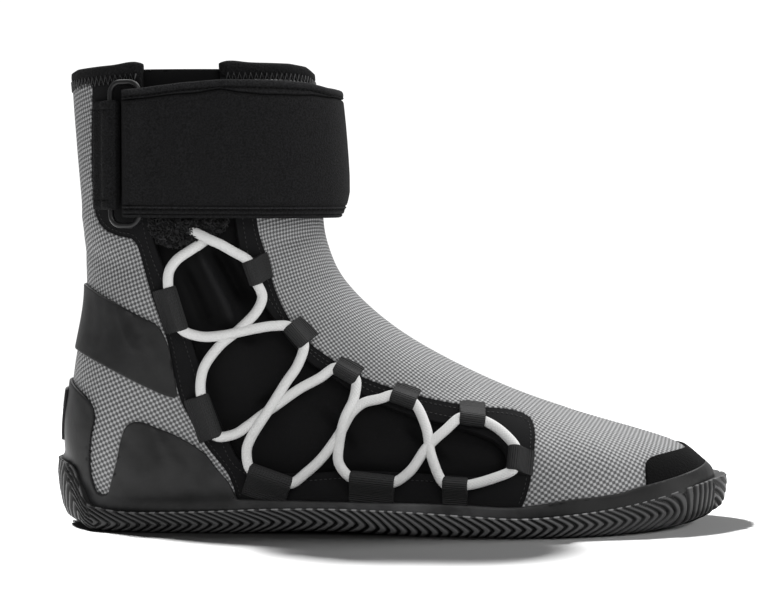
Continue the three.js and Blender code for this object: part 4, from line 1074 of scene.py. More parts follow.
matt, tree, surface = new_material("toe_patch_face", 0.9, 0.08, (0.003, 0.003, 0.0031))
coordinates = add_node(tree, "ShaderNodeTexCoord")
pebbles = add_node(tree, "ShaderNodeTexVoronoi", {"Vector": coordinates.outputs["Object"], "Scale": 1100.0})
add_bump(tree, surface, pebbles.outputs["Distance"], 0.7, 0.0004)
toe_patch = layer("toe_patch", toe_patch_zone, GLUE_FACE, 2.3, 0.4, 1, rows=(0, 140))
finish_piece(toe_patch, matt, "rubber", "toe_patch")


# Heel tab: a plain plate moulded on the back of the counter
def heel_tab_zone(points, outer):
    beside = np.minimum.reduce([10 - np.abs(points[:, 1]), points[:, 2] - 36.2, 57.5 - points[:, 2]])
    return np.where(points[:, 0] < 60, beside, -1e3)


heel_tab = layer("heel_tab", heel_tab_zone, 2.2, 4.0, 0.5, 1)
finish_piece(heel_tab, rubber, "rubber", "heel_tab")


# Insole: a foam sheet with a knit top, laid loose in the bottom
inset_line = edge_points[::12] + edge_inward[::12] * 11
middle_x = np.linspace(inset_line[:, 0].min() + 1, inset_line[:, 0].max() - 1, 60)
rows = []
for x in middle_x:
    sides = []
    for half in (inset_line[inset_line[:, 1] < 3], inset_line[inset_line[:, 1] >= 3]):
        order = np.argsort(half[:, 0])
        sides.append(np.interp(x, half[order, 0], half[order, 1]))
    y = np.linspace(sides[0], sides[1], 13)
    lift = max(0, (x / LENGTH - 0.82)) * 60
    rows.append(np.column_stack([np.full(13, x), y, np.full(13, 11.9 + lift)]))
points = np.vstack(rows)
under = points - (0, 0, 3)
faces = []
for a in range(len(rows) - 1):
    for b in range(12):
        p = a * 13 + b
        faces.append([p, p + 13, p + 14, p + 1])
count = len(points)
faces += [[v + count for v in reversed(f)] for f in faces]
follows, leads = rims_of(faces[: len(faces) // 2])
for v, w in follows.items():
    faces.append([w, v, v + count, w + count])
insole = make_object("insole", np.vstack([points, under]), faces)
finish_piece(insole, knit, "neoprene", "insole")


# Lace loops: ribbed webbing folded round the lace and sewn flat to the eyestay, with its ends under
# the skin. inner and outer are the middles of the fold and of the sewn end, in the side view.
LACE_DIAMETER = 4.2
LOOP_WALL = 0.9
LACE_LOOPS = [
    ([0.284, 1.069], [0.3195, 1.108], 10.6), ([0.351, 0.790], [0.378, 0.853], 10.6),
    ([0.426, 0.624], [0.441, 0.694], 10.6), ([0.511, 0.514], [0.523, 0.594], 10.6),
    ([0.612, 0.429], [0.616, 0.528], 10.6), ([0.663, 0.314], [0.697, 0.302], 10.6),
    ([0.592, 0.251], [0.590, 0.140], 10.2), ([0.474, 0.263], [0.470, 0.142], 18.5),
    ([0.329, 0.272], [0.314, 0.148], 18.5), ([0.246, 0.498], [0.214, 0.465], 18.5),
    ([0.198, 0.940], [0.168, 0.914], 18.5),
]
side_rows = FORM[:, :HALF + 1]
side_faces = [
    (a * (HALF + 1) + b, (a + 1) * (HALF + 1) + b, (a + 1) * (HALF + 1) + b + 1, a * (HALF + 1) + b + 1)
    for a in range(side_rows.shape[0] - 1) for b in range(HALF)
]
side_tree = BVHTree.FromPolygons([Vector(p) for p in side_rows.reshape(-1, 3)], side_faces)


def form_place(origin, direction):
    """Row and column of the form where a ray meets its outer side"""
    found, _, face, _ = side_tree.ray_cast(Vector(origin), Vector(direction))
    a, b = divmod(face, HALF)
    corner = side_rows[a, b]
    u = side_rows[a + 1, b] - corner
    v = side_rows[a, b + 1] - corner
    gap = np.array(found) - corner
    share = np.linalg.lstsq(np.stack([u, v], axis=1), gap, rcond=None)[0]
    return a + share[0], b + share[1]


def on_side(x, z, offset):
    """Point over the outer side of the boot at a side-view place, and the direction out of it"""
    i, j = form_place((x, -200, z), (0, 1, 0))
    normal = on_form(FORM_NORMALS, i, j)
    normal = normal / np.linalg.norm(normal)
    return on_form(FORM, i, j) + normal * offset, normal


def side_spot(place, offset):
    return on_side(place[0] * LENGTH, place[1] * HEIGHT, offset)


def unit(v):
    return v / np.linalg.norm(v)


LACE_SEAT = 4.2
RIB_WIDTH = 0.95
webbing, tree, surface = new_material("webbing", 0.6, 0.2, (0.019, 0.019, 0.0195))
coordinates = add_node(tree, "ShaderNodeTexCoord")
split = add_node(tree, "ShaderNodeSeparateXYZ", {"Vector": coordinates.outputs["UV"]})
turn = add_node(tree, "ShaderNodeMath", {0: split.outputs["X"], 1: 2 * math.pi / RIB_WIDTH},
                operation="MULTIPLY")
ribs = add_node(tree, "ShaderNodeMath", {0: turn.outputs[0]}, operation="SINE")
add_bump(tree, surface, ribs.outputs[0], 0.7, 0.0003)


def loop_axes(inner, outer):
    fold, _ = side_spot(inner, 0)
    end, _ = side_spot(outer, 0)
    along = unit(end - fold)
    middle = [(a + b) / 2 for a, b in zip(inner, outer)]
    _, out = side_spot(middle, 0)
    across = unit(np.cross(along, out))
    out = np.cross(across, along)
    radius = LACE_DIAMETER / 2 + 0.15 + LOOP_WALL
    centre = fold + along * radius + out * LACE_SEAT
    return along, out, across, centre, np.linalg.norm(end - fold) - radius, radius


def loop_profile(reach, radius):
    """Outline of the folded tape: along from the lace's middle, and height from it"""
    ground = -LACE_SEAT + 0.7
    outer_line = [(reach + 1.5, ground + 0.35), (reach - 0.5, ground + 1.0), (reach * 0.72, ground + 2.0)]
    for turn in np.radians([62, 80, 98, 116, 134, 152, 170, 188, 206, 224, 242, 258]):
        outer_line.append((radius * math.cos(turn), radius * math.sin(turn) * 0.96))
    outer_line += [(radius * 0.2, ground - 0.1), (radius * 1.2, ground - 0.4), (reach + 1.5, ground - 0.6)]
    return outer_line


def lace_loop(name, inner, outer, width):
    along, out, across, centre, reach, radius = loop_axes(inner, outer)
    line = np.array(loop_profile(reach, radius))
    fine = [line[0]]
    for p, q in zip(line[:-1], line[1:]):
        steps = max(1, int(np.linalg.norm(q - p) / 0.8))
        fine += [p + (q - p) * (k + 1) / steps for k in range(steps)]
    line = np.array(fine)
    run = run_along(line)
    places = np.array([-0.5, -0.485, -0.44, -0.3, -0.1, 0.1, 0.3, 0.44, 0.485, 0.5]) * width
    sink = np.array([0.55, 0.2, 0.0, 0, 0, 0, 0, 0.0, 0.2, 0.55])
    points = []
    uv = []
    for place, inward in zip(places, sink):
        for (a, h), r in zip(line, run):
            gap = np.array([a, h]) - (np.clip(a, 0, reach), max(min(h, 0), -2.4))
            gap = gap / (np.linalg.norm(gap) + 1e-9)
            a2, h2 = np.array([a, h]) - gap * inward
            points.append(centre + along * a2 + out * h2 + across * place)
            uv.append((r, place))
    m = len(line)
    faces = []
    for c in range(len(places) - 1):
        for k in range(m):
            q = (k + 1) % m
            faces.append([c * m + k, c * m + q, (c + 1) * m + q, (c + 1) * m + k])
    faces.append([k for k in reversed(range(m))])
    faces.append([(len(places) - 1) * m + k for k in range(m)])
    uvs = [uv[v] for f in faces for v in f]
    return face_outward(make_object(name, points, faces, uvs))


for k, (inner, outer, width) in enumerate(LACE_LOOPS):
    name = f"lace_loop_{k + 1}"
    finish_piece(lace_loop("webbing_" + name, inner, outer, width), webbing, "webbing", name)


# Lace: a round white braid in two halves, from the keeper through every loop to the toe one. A number
# is the loop it runs through. The rest are side-view places with the lace's height over the form.
OVER, UNDER = 5.9, 1.9
LACE_RUNS = [
    [
        (0.198, 1.264, -3.0), (0.204, 1.258, -1.6), (0.212, 1.248, 0.4), (0.222, 1.236, 2.2),
        (0.235, 1.217, 3.8), (0.250, 1.197, 4.4), (0.2655, 1.170, 4.2), 1,
        (0.309, 0.975, 4.0), (0.303, 0.919, 3.8), (0.279, 0.844, 3.4), (0.250, 0.775, 3.2),
        (0.229, 0.691, 3.6), (0.224, 0.628, 4.0), 10,
        (0.273, 0.414, 4.0), (0.292, 0.447, 3.8), (0.311, 0.487, 3.4), (0.334, 0.532, 3.4),
        (0.366, 0.594, 3.6),
        (0.394, 0.634, 4.0), 3,
        (0.445, 0.552, 4.0), (0.433, 0.470, OVER), (0.425, 0.372, 4.0), (0.425, 0.298, 4.0), 8,
        (0.527, 0.268, 4.0), (0.551, 0.360, 3.6), (0.576, 0.420, 3.8), 5,
        (0.654, 0.409, 4.0), 6,
    ],
    [
        6, (0.642, 0.240, 4.0), 7,
        (0.557, 0.327, 3.8), (0.549, 0.431, 3.8), 4,
        (0.482, 0.545, 4.0), (0.459, 0.532, 3.8), (0.442, 0.495, 3.6), (0.425, 0.413, 3.4),
        (0.399, 0.314, 3.8), (0.379, 0.262, 4.0), 9,
        (0.291, 0.348, 4.0), (0.2965, 0.395, 4.4), (0.311, 0.462, OVER), (0.327, 0.530, 4.8),
        (0.346, 0.618, 4.0),
        (0.363, 0.692, 4.0), 2,
        (0.326, 0.851, 4.0), (0.295, 0.839, 4.4), (0.252, 0.818, 4.4), (0.221, 0.818, 4.0), 11,
        (0.180, 1.080, 4.0), (0.1905, 1.130, 3.6), (0.2105, 1.172, 3.0), (0.2235, 1.196, 1.8),
        (0.232, 1.217, 0.2), (0.229, 1.240, -1.5),
    ],
]


def lace_line(run):
    places = [None if isinstance(s, int) else side_spot(s[:2], s[2])[0] for s in run]
    points = []
    for k, stop in enumerate(run):
        if places[k] is not None:
            points.append(places[k])
            continue
        inner, outer, width = LACE_LOOPS[stop - 1]
        _, _, across, centre, _, _ = loop_axes(inner, outer)
        reach = width / 2 - 0.8
        before = places[k - 1] if k > 0 else centre
        after = places[k + 1] if k + 1 < len(run) else centre
        way = across * (1 if across @ (after - before) >= 0 else -1)
        start = -reach if k > 0 else 0.0
        end = reach if k + 1 < len(run) else 0.0
        points += [centre + way * start, centre + way * (start + end) / 2, centre + way * end]
    return np.array(points)


def smooth_path(p, step):
    """Centripetal Catmull-Rom line through points in space, resampled evenly"""
    full = np.vstack([2 * p[0] - p[1], p, 2 * p[-1] - p[-2]])
    out = []
    for k in range(1, len(full) - 2):
        out.append(spline_span(*full[k - 1:k + 3], 30))
    out = np.vstack(out + [p[-1:]])
    run = run_along(out)
    want = np.linspace(0, run[-1], max(2, int(run[-1] / step)))
    return np.stack([np.interp(want, run, out[:, k]) for k in range(3)], axis=1)


def tube(path, radius, sides):
    """A round cord along a path, with its length and turn as a pattern"""
    along = np.gradient(path, axis=0)
    along /= np.linalg.norm(along, axis=1, keepdims=True)
    out = unit(np.cross(along[0], (0.3, 1, 0.2)))
    rings = []
    turns = 2 * math.pi * np.arange(sides) / sides
    lengths = run_along(path)
    for p, t in zip(path, along):
        out = unit(out - t * (out @ t))
        side = np.cross(t, out)
        rings.append(p + radius * (np.cos(turns)[:, None] * out + np.sin(turns)[:, None] * side))
    points = np.vstack(rings)
    faces, uvs = [], []
    n = sides
    for a in range(len(path) - 1):
        for b in range(n):
            c = (b + 1) % n
            faces.append([a * n + b, a * n + c, (a + 1) * n + c, (a + 1) * n + b])
            around = 2 * math.pi * radius / n
            uvs += [(lengths[a], b * around), (lengths[a], (b + 1) * around),
                    (lengths[a + 1], (b + 1) * around), (lengths[a + 1], b * around)]
    faces += [[k for k in reversed(range(n))], [(len(path) - 1) * n + k for k in range(n)]]
    uvs += [(0, 0)] * (2 * n)
    return points, faces, uvs


STRANDS_AROUND = 8
lace_white, tree, surface = new_material("lace_braid", 0.75, colour=(0.62, 0.62, 0.615))
coordinates = add_node(tree, "ShaderNodeTexCoord")
raised = bump_height(tree, coordinates.outputs["UV"], 1.3, math.pi * LACE_DIAMETER / STRANDS_AROUND)
add_bump(tree, surface, raised, 0.5, 0.0003)
for k, run in enumerate(LACE_RUNS):
    parts = tube(smooth_path(lace_line(run), 1.0), LACE_DIAMETER / 2, 20)
    piece = make_object(f"lace_half_{k + 1}", *parts)
    finish_piece(piece, lace_white, "lace", "lace")


# Lace keeper: a soft looped-pile pad at the top of the throat, which grips both ends of the lace
KEEPER = smooth_line([
    [0.149, 1.298], [0.262, 1.298], [0.257, 1.262], [0.238, 1.222], [0.217, 1.195], [0.192, 1.187],
    [0.165, 1.205], [0.152, 1.245],
])


def keeper_zone(points, outer):
    return np.where(outer, within(KEEPER, points), -1e3)


keeper = layer("lace_keeper_pad", keeper_zone, -2.6, 1.9, 1.0, 1)
finish_piece(keeper, knit, "neoprene", "lace_keeper")


# Ankle strap: a wide padded neoprene strap with bound edges, folded round the ring and fastened on
# itself. It stands off the front of the shaft.
STRAP_MIDDLE = 157.0
SHAFT_AXIS = 0.21 * LENGTH
RING_BAR = 2.4
RING_WIDTH = 15.0
STRAP_THICKNESS = 3.4


def round_shaft(turn, standoff):
    angle = math.radians(turn)
    way = np.array([math.cos(angle), -math.sin(angle), 0])
    start = np.array([SHAFT_AXIS, 0, STRAP_MIDDLE])
    found, _, _, _ = whole_tree.ray_cast(Vector(start), Vector(way))
    return np.array(found)[:2] + way[:2] * standoff


whole_faces = []
for a in range(FORM.shape[0] - 1):
    for b in range(AROUND):
        c = (b + 1) % AROUND
        whole_faces.append((a * AROUND + b, (a + 1) * AROUND + b, (a + 1) * AROUND + c, a * AROUND + c))
whole_tree = BVHTree.FromPolygons([Vector(p) for p in FORM.reshape(-1, 3)], whole_faces)
bar_hole = RING_BAR * math.sqrt(0.5) + 0.6
eye_radius = bar_hole + 1.5
bar_standoff = SKIN + 0.6 + eye_radius
front_bar = round_shaft(118, bar_standoff)
ring_way = unit(round_shaft(126, bar_standoff) - front_bar)
rear_bar = front_bar + ring_way * (RING_WIDTH - RING_BAR)
STRAP_LINE = [
    (104, 0.06), (88, 0.06), (66, 0.3), (48, 0.62), (34, 0.86), (20, 1), (7, 1), (-7, 1), (-20, 0.96),
    (-36, 0.78), (-56, 0.42), (-78, 0.12), (-98, 0), (-118, 0), (-135, 0),
]
strap_plan = [round_shaft(turn, SKIN + 0.6 + STRAP_THICKNESS / 2 + bulge * 8.5) for turn, bulge in STRAP_LINE]


def plan_line(points, step):
    """An even line through plan points, with directions out of it and lengths along it"""
    line = smooth_path(np.column_stack([np.array(points), np.zeros(len(points))]), step)[:, :2]
    along = np.gradient(line, axis=0)
    along /= np.linalg.norm(along, axis=1, keepdims=True)
    run = run_along(line)
    return line, np.stack([-along[:, 1], along[:, 0]], axis=1), run


def upright_band(name, line, out, run, face, back, shape, shade_tones=(), wander=None):
    """A band that stands upright along a plan line. face and back are rows of height and thickness. The tones
    scale the colour of each row round the band, as painted shade and light.
    """
    rings = []
    for k in range(len(line)):
        z_top, z_low, thick, flare = shape(k)
        ring = []
        for drop, rise, depth in face:
            z = z_top - drop if drop is not None else z_low + rise
            if wander and drop and 3.8 < drop < 7:
                z -= wander(run[k])
            ring.append((z, depth * thick))
        for drop, rise, depth in back:
            z = z_top - drop if drop is not None else z_low + rise
            ring.append((z, depth * thick))
        rings.append([(line[k][0] + out[k][0] * (t + flare(z)), line[k][1] + out[k][1] * (t + flare(z)), z)
                      for z, t in ring])
    m = len(rings[0])
    points = np.array(rings).reshape(-1, 3)
    faces, uvs = [], []
    heights = points[:, 2]
    for a in range(len(rings) - 1):
        for b in range(m):
            c = (b + 1) % m
            face_loop = [a * m + b, (a + 1) * m + b, (a + 1) * m + c, a * m + c]
            faces.append(face_loop)
            uvs += [(run[v // m], heights[v]) for v in face_loop]
    faces += [[b for b in range(m)], [(len(rings) - 1) * m + b for b in reversed(range(m))]]
    uvs += [(run[0], heights[b]) for b in range(m)]
    uvs += [(run[-1], heights[(len(rings) - 1) * m + b]) for b in reversed(range(m))]
    piece = make_object(name, points, faces, uvs)
    shade_tones = list(shade_tones) + [1.0] * (m - len(shade_tones))
    set_attribute(piece, "tone", shade_tones * len(rings))
    return face_outward(piece)


def hem_wander(distance):
    """The hem's seam is not quite straight"""
    return np.interp(distance, [0, 17, 30, 40, 47, 58, 75, 95, 260],
                     [-0.4, -0.5, -0.1, -1.0, 0.2, 1.1, 0.7, -0.9, 0])


def fold_end(distance, radius, thickness):
    """Half thickness of a tape that is folded round a bar, near its fold"""
    if distance < radius:
        return math.sqrt(max(radius ** 2 - (radius - distance) ** 2, 0.01))
    share = min(1.0, (distance - radius) / (1.6 * radius))
    share = share * share * (3 - 2 * share)
    return radius + (thickness / 2 - radius) * share


bar_way = unit(strap_plan[0] - front_bar)
strap_start = front_bar - bar_way * (eye_radius + 3.4)
strap_line, strap_out, strap_run = plan_line([strap_start, front_bar, *strap_plan], 1.6)
if strap_out[10] @ (strap_line[10] - np.array([SHAFT_AXIS, 0])) < 0:
    strap_out = -strap_out
HALF_STRAP = STRAP_THICKNESS / 2
# height below the top edge, height over the bottom edge, share of the half thickness
STRAP_FACE = [
    (0.0, None, 0.0), (0.1, None, 0.6), (0.45, None, 1.05), (1.1, None, 1.28), (2.2, None, 1.3),
    (2.9, None, 1.15), (3.3, None, 0.8), (3.7, None, 1.1), (4.2, None, 1.15), (4.6, None, 0.85),
    (4.95, None, 0.45), (5.3, None, 0.9), (6.2, None, 1.08), (9, None, 1.15), (15, None, 1.25),
    (22, None, 1.3), (29, None, 1.3), (36, None, 1.27), (43, None, 1.2),
    (None, 8, 1.14), (None, 6.3, 1.1), (None, 5.4, 1.05), (None, 4.95, 0.75), (None, 4.5, 1.05),
    (None, 4.2, 1.2), (None, 3.9, 1.06), (None, 3.6, 0.6), (None, 3.1, 0.92), (None, 2.2, 0.98),
    (None, 1.75, 0.86), (None, 1.5, 0.45), (None, 1.25, 0.76), (None, 0.6, 0.7), (None, 0.15, 0.45),
    (None, 0.0, 0.0),
]
# Painted shade and light on the strap's face, row by row: darker in the seam grooves and at the hems, lighter
# on the ridges of its bound edges.
STRAP_PAINTED_SHADE = [
    1.0, 1.2, 1.7, 1.8, 1.3, 0.7, 0.25, 0.9, 1.5, 0.7, 0.08, 0.7, 1, 1, 1, 1, 1, 1, 1,
    1, 1, 0.9, 0.35, 1.6, 2.6, 1.3, 0.12, 0.8, 1.2, 1.0, 0.2, 0.9, 1.1, 0.7, 0.5,
]
STRAP_BACK = [
    (None, 0.2, -0.6), (None, 1.0, -0.95), (None, 6.0, -1.0), (None, 16, -1.0), (None, 27, -1.0),
    (16, None, -1.0), (6, None, -1.0), (1.0, None, -0.95), (0.2, None, -0.6),
]


def strap_shape(k):
    distance = strap_run[k]
    top = np.interp(distance, [0, 8, 24, 42, 62, 80, 92, 104, 260],
                    [182.6, 183.3, 185.4, 186.8, 186.6, 186.0, 184.3, 183.9, 184.0])
    bottom = np.interp(distance, [0, 20, 60, 260], [130.4, 130.2, 130.0, 130.0])
    half = fold_end(distance, eye_radius, STRAP_THICKNESS)
    front = np.interp(distance, [55, 85, 125, 160], [0, 1, 1, 0])

    def flare(z):
        return front * np.interp(z, [130, 133, 137, 142, 152, 178, 182, 187],
                                 [-2.6, -1.7, -0.5, 0.3, -0.3, -2.2, -2.8, -3.6])
    return top, bottom, half, flare


strap_knit, tree, surface = new_material("strap_knit", 0.95, 0.15)
fine = grain(tree, 1500.0, 3.0)
felt = colour_ramp(tree, fine, [(0.36, (0.004, 0.004, 0.0042)), (0.66, (0.0125, 0.0125, 0.0133))])
tree.links.new(felt, surface.inputs["Base Color"])
add_bump(tree, surface, fine, 0.9, 0.0006)
strap_face = painted_shade_copy(strap_knit)
strap = upright_band("strap_body", strap_line, strap_out, strap_run, STRAP_FACE, STRAP_BACK, strap_shape,
                     STRAP_PAINTED_SHADE, hem_wander)
finish_piece(strap, strap_face, "neoprene", "ankle_strap")


# Ring: a tall frame of smooth black plastic bar, held by the anchor tape and pulled by the strap
def rounded_frame(width, tall, corner):
    places = []
    for cx, cz, start in ((1, 1, 0), (-1, 1, 90), (-1, -1, 180), (1, -1, 270)):
        for turn in np.radians(np.arange(0, 91, 10) + start):
            places.append((cx * (width / 2 - corner) + corner * math.cos(turn),
                           cz * (tall / 2 - corner) + corner * math.sin(turn)))
    return places


def ring_bar(name, width, tall, corner, radius, flat):
    places = rounded_frame(width, tall, corner)
    middle = (front_bar + rear_bar) / 2
    across = np.array([ring_way[0], ring_way[1], 0])
    up = np.array([0, 0, 1.0])
    out = np.cross(up, across)
    out = out if out[1] < 0 else -out
    centre = np.array([middle[0], middle[1], STRAP_MIDDLE - 0.6])
    count, sides = len(places), 12
    points = []
    for k in range(count):
        a, b = np.array(places[k - 1]), np.array(places[(k + 1) % count])
        t = unit(b - a)
        normal = np.array([t[1], -t[0]])
        for turn in 2 * math.pi * np.arange(sides) / sides:
            p = np.array(places[k]) + normal * radius * math.cos(turn)
            points.append(centre + across * p[0] + up * p[1] + out * flat * math.sin(turn))
    return face_outward(make_object(name, points, ring_faces(count, sides, closed=True)))


plastic, tree, surface = new_material("ring_plastic", 0.3, 0.35, (0.006, 0.006, 0.0065))
add_bump(tree, surface, grain(tree, 300.0), 0.1, 0.0004)
ring = ring_bar("ring_frame", RING_WIDTH - RING_BAR, 58.6, 4.5, RING_BAR / 2, 1.3)
finish_piece(ring, plastic, "plastic", "strap_ring")


# Strap anchor: a tape folded round the ring's rear bar and sewn down to the upper behind it
anchor_plan = [round_shaft(turn, SKIN + 1.5) for turn in (143, 145.5, 148)]
anchor_way = unit(anchor_plan[0] - rear_bar)
anchor_start = rear_bar - anchor_way * eye_radius
anchor_line, anchor_out, anchor_run = plan_line([anchor_start, rear_bar, *anchor_plan], 1.0)
if anchor_out[4] @ (anchor_line[4] - np.array([SHAFT_AXIS, 0])) < 0:
    anchor_out = -anchor_out
ANCHOR_FACE = [
    (0.0, None, 0.0), (0.1, None, 0.6), (0.5, None, 1.1), (1.2, None, 1.3), (2.2, None, 1.3),
    (3.2, None, 1.25),
    (3.8, None, 0.8), (4.4, None, 1.0), (8, None, 1.05), (15, None, 1.1), (25, None, 1.1), (35, None, 1.05),
    (None, 6, 1.0), (None, 4.4, 1.0), (None, 4.0, 0.8), (None, 3.5, 1.1), (None, 1.2, 1.1), (None, 0.4, 0.9),
    (None, 0.0, 0.0),
]


def anchor_shape(k):
    half = fold_end(anchor_run[k], eye_radius, 1.8)
    if anchor_run[k] > anchor_run[-1] - 1:
        half *= 0.6
    return 178.3, 133.5, half, (lambda z: 0.0)


anchor = upright_band("anchor_tape", anchor_line, anchor_out, anchor_run, ANCHOR_FACE, STRAP_BACK,
                      anchor_shape)
finish_piece(anchor, strap_face, "webbing", "strap_anchor")


# Collar binding: a soft stretch strip folded over the top edge and sewn through with a zigzag
def collar_rim(x):
    line = below_collar(0)[3:12]
    order = np.argsort(line[:, 0])
    return np.interp(x, line[order, 0], line[order, 1])


def at_height(j, z):
    """Row of the form where a column reaches a height, on the shaft"""
    rows = np.arange(FORM.shape[0] - 120, FORM.shape[0])
    column = on_form(FORM, rows, np.full(len(rows), float(j)))[:, 2]
    return np.interp(z, column, rows)


def column_at(x, z, low, high):
    """Column of the outer side that passes a side-view place"""
    for _ in range(40):
        middle = (low + high) / 2
        if on_form(FORM, at_height(middle, z), middle)[0] > x:
            low = middle
        else:
            high = middle
    return middle


front_end = column_at(0.254 * LENGTH - 0.5, 188, 0, HALF)
rear_end = column_at(0.139 * LENGTH + 0.5, 188, 0, HALF)
BINDING = [
    (6.1, 0.5), (6.0, 1.0), (5.5, 1.35), (4.6, 1.35), (3.9, 1.05), (3.2, 1.4), (2.0, 1.6), (0.9, 1.6),
    (-0.2, 1.5), (-0.9, 0.5), (-1.15, -1.0), (-1.1, -2.4), (-0.6, -3.6), (0.4, -4.5), (2, -4.8),
    (4.4, -4.6), (5.4, -4.5), (6.0, -4.0), (6.1, -3.0),
]
rings = []
binding_columns = np.linspace(front_end, rear_end - AROUND, 230)
for k, j in enumerate(binding_columns):
    z = COLLAR_Z
    for _ in range(4):
        place = on_form(FORM, at_height(j, z), j)
        z = collar_rim(place[0])
    share = min(k, len(binding_columns) - 1 - k)
    swell = 0.7 * math.exp(-((share - 5) / 5.0) ** 2)
    taper = min(1.0, 0.35 + 0.65 * math.sqrt(min(share, 3) / 3))
    ring = []
    for drop, offset in BINDING:
        row = at_height(j, z - drop * taper + swell * (drop < 3))
        normal = on_form(FORM_NORMALS, row, j)
        normal[2] = 0
        middle = -1.5
        ring.append(on_form(FORM, row, j) + unit(normal) * (middle + (offset - middle) * taper))
        ring[-1][2] = z - drop * taper + swell * (drop < 3)
    rings.append(ring)
m = len(BINDING)
points = np.array(rings).reshape(-1, 3)
faces = ring_faces(len(rings), m)
faces += [[b for b in reversed(range(m))], [(len(rings) - 1) * m + b for b in range(m)]]
binding = face_outward(make_object("collar_binding_strip", points, faces))
finish_piece(binding, strap_knit, "neoprene", "collar_binding")


# Seams: thread sewn in rows of even stitches, round the eyestay and along the strap and its anchor
def stitch_group():
    """Lays one stitch at each step along the edges of a mesh"""
    group = bpy.data.node_groups.new("stitch_row", "GeometryNodeTree")
    sockets = {}
    for name, kind in (("Row", "NodeSocketGeometry"), ("Pitch", "NodeSocketFloat"),
                       ("Size", "NodeSocketVector"), ("Thread", "NodeSocketMaterial")):
        sockets[name] = group.interface.new_socket(name, in_out="INPUT", socket_type=kind).identifier
    group.interface.new_socket("Stitches", in_out="OUTPUT", socket_type="NodeSocketGeometry")
    start = group.nodes.new("NodeGroupInput")
    curve = group.nodes.new("GeometryNodeMeshToCurve")
    even = group.nodes.new("GeometryNodeResampleCurve")
    even.mode = "LENGTH"
    tangent = group.nodes.new("GeometryNodeInputTangent")
    turn = group.nodes.new("FunctionNodeAlignRotationToVector")
    turn.axis = "X"
    bead = group.nodes.new("GeometryNodeMeshUVSphere")
    bead.inputs["Segments"].default_value = 8
    bead.inputs["Rings"].default_value = 6
    sized = group.nodes.new("GeometryNodeTransform")
    placed = group.nodes.new("GeometryNodeInstanceOnPoints")
    real = group.nodes.new("GeometryNodeRealizeInstances")
    smooth = group.nodes.new("GeometryNodeSetShadeSmooth")
    thread = group.nodes.new("GeometryNodeSetMaterial")
    end = group.nodes.new("NodeGroupOutput")
    for a, b in (
        (start.outputs["Row"], curve.inputs[0]), (curve.outputs[0], even.inputs["Curve"]),
        (start.outputs["Pitch"], even.inputs["Length"]), (tangent.outputs[0], turn.inputs["Vector"]),
        (bead.outputs["Mesh"], sized.inputs["Geometry"]), (start.outputs["Size"], sized.inputs["Scale"]),
        (even.outputs[0], placed.inputs["Points"]), (sized.outputs[0], placed.inputs["Instance"]),
        (turn.outputs[0], placed.inputs["Rotation"]), (placed.outputs[0], real.inputs[0]),
        (real.outputs[0], smooth.inputs[0]), (smooth.outputs[0], thread.inputs["Geometry"]),
        (start.outputs["Thread"], thread.inputs["Material"]), (thread.outputs[0], end.inputs[0]),
    ):
        group.links.new(a, b)
    return group, sockets


def made_plain(piece, group, values):
    """Runs a node group on a piece with its inputs set, and keeps the mesh that comes out"""
    maker = piece.modifiers.new(group.name, "NODES")
    maker.node_group = group
    for socket, value in values.items():
        maker[socket] = value
    seen = piece.evaluated_get(bpy.context.evaluated_depsgraph_get())
    real = bpy.data.meshes.new_from_object(seen)
    piece.modifiers.clear()
    piece.data = real
    return piece


stitches, stitch_sockets = stitch_group()


def stitch_rows(name, rows, pitch, length, width, material):
    """Stitches along lines of millimetre points, as one mesh"""
    points, edges = [], []
    for row in rows:
        first = len(points)
        points += [tuple((np.asarray(p) - MIDDLE) * 0.001) for p in row]
        edges += [(k, k + 1) for k in range(first, len(points) - 1)]
    mesh = bpy.data.meshes.new(name + "_rows")
    mesh.from_pydata(points, edges, [])
    piece = bpy.data.objects.new(name, mesh)
    bpy.context.collection.objects.link(piece)
    return made_plain(piece, stitches, {
        stitch_sockets["Pitch"]: pitch * 0.001,
        stitch_sockets["Size"]: (0.0005 * length, 0.0005 * width, 0.0005 * width),
        stitch_sockets["Thread"]: material,
    })


def beside(outline, distance, keep, step=1.0):
    """Runs of side-view points at a distance inside a closed outline, or outside it if negative"""
    a = outline
    along = np.roll(a, -1, axis=0) - np.roll(a, 1, axis=0)
    along /= np.linalg.norm(along, axis=1, keepdims=True) + 1e-9
    area = np.sum(a[:, 0] * np.roll(a[:, 1], -1) - np.roll(a[:, 0], -1) * a[:, 1])
    inward = np.stack([-along[:, 1], along[:, 0]], axis=1) * np.sign(area)
    p = a + inward * distance
    there = within(outline, np.column_stack([p[:, 0], np.zeros(len(p)), p[:, 1]]))
    good = (np.abs(there - distance) < 0.2) & np.array([keep(x, z) for x, z in p])
    starts = [k for k in range(len(p)) if good[k] and not good[k - 1]]
    runs = []
    for k in starts:
        run = []
        while good[k % len(p)] and len(run) < len(p):
            run.append(p[k % len(p)])
            k += 1
        if len(run) > 3:
            runs.append(np.array(run))
    return runs


def seam_keep(x, z):
    return z < 136 and z > np.interp(x, rand_top_line[:, 0], rand_top_line[:, 1]) + 0.6


thread, _, _ = new_material("thread", 0.5, colour=(0.013, 0.013, 0.0135))
seam_runs = []
for outline, distance in ((EYESTAY, 1.7), (THROAT, -2.6)):
    for run in beside(outline, distance, seam_keep):
        seam_runs.append([on_side(x, z, 0.95)[0] for x, z in run])
seams = stitch_rows("eyestay_seams", seam_runs, 2.0, 1.2, 0.34, thread)
finish_piece(seams, thread, "neoprene", "eyestay")


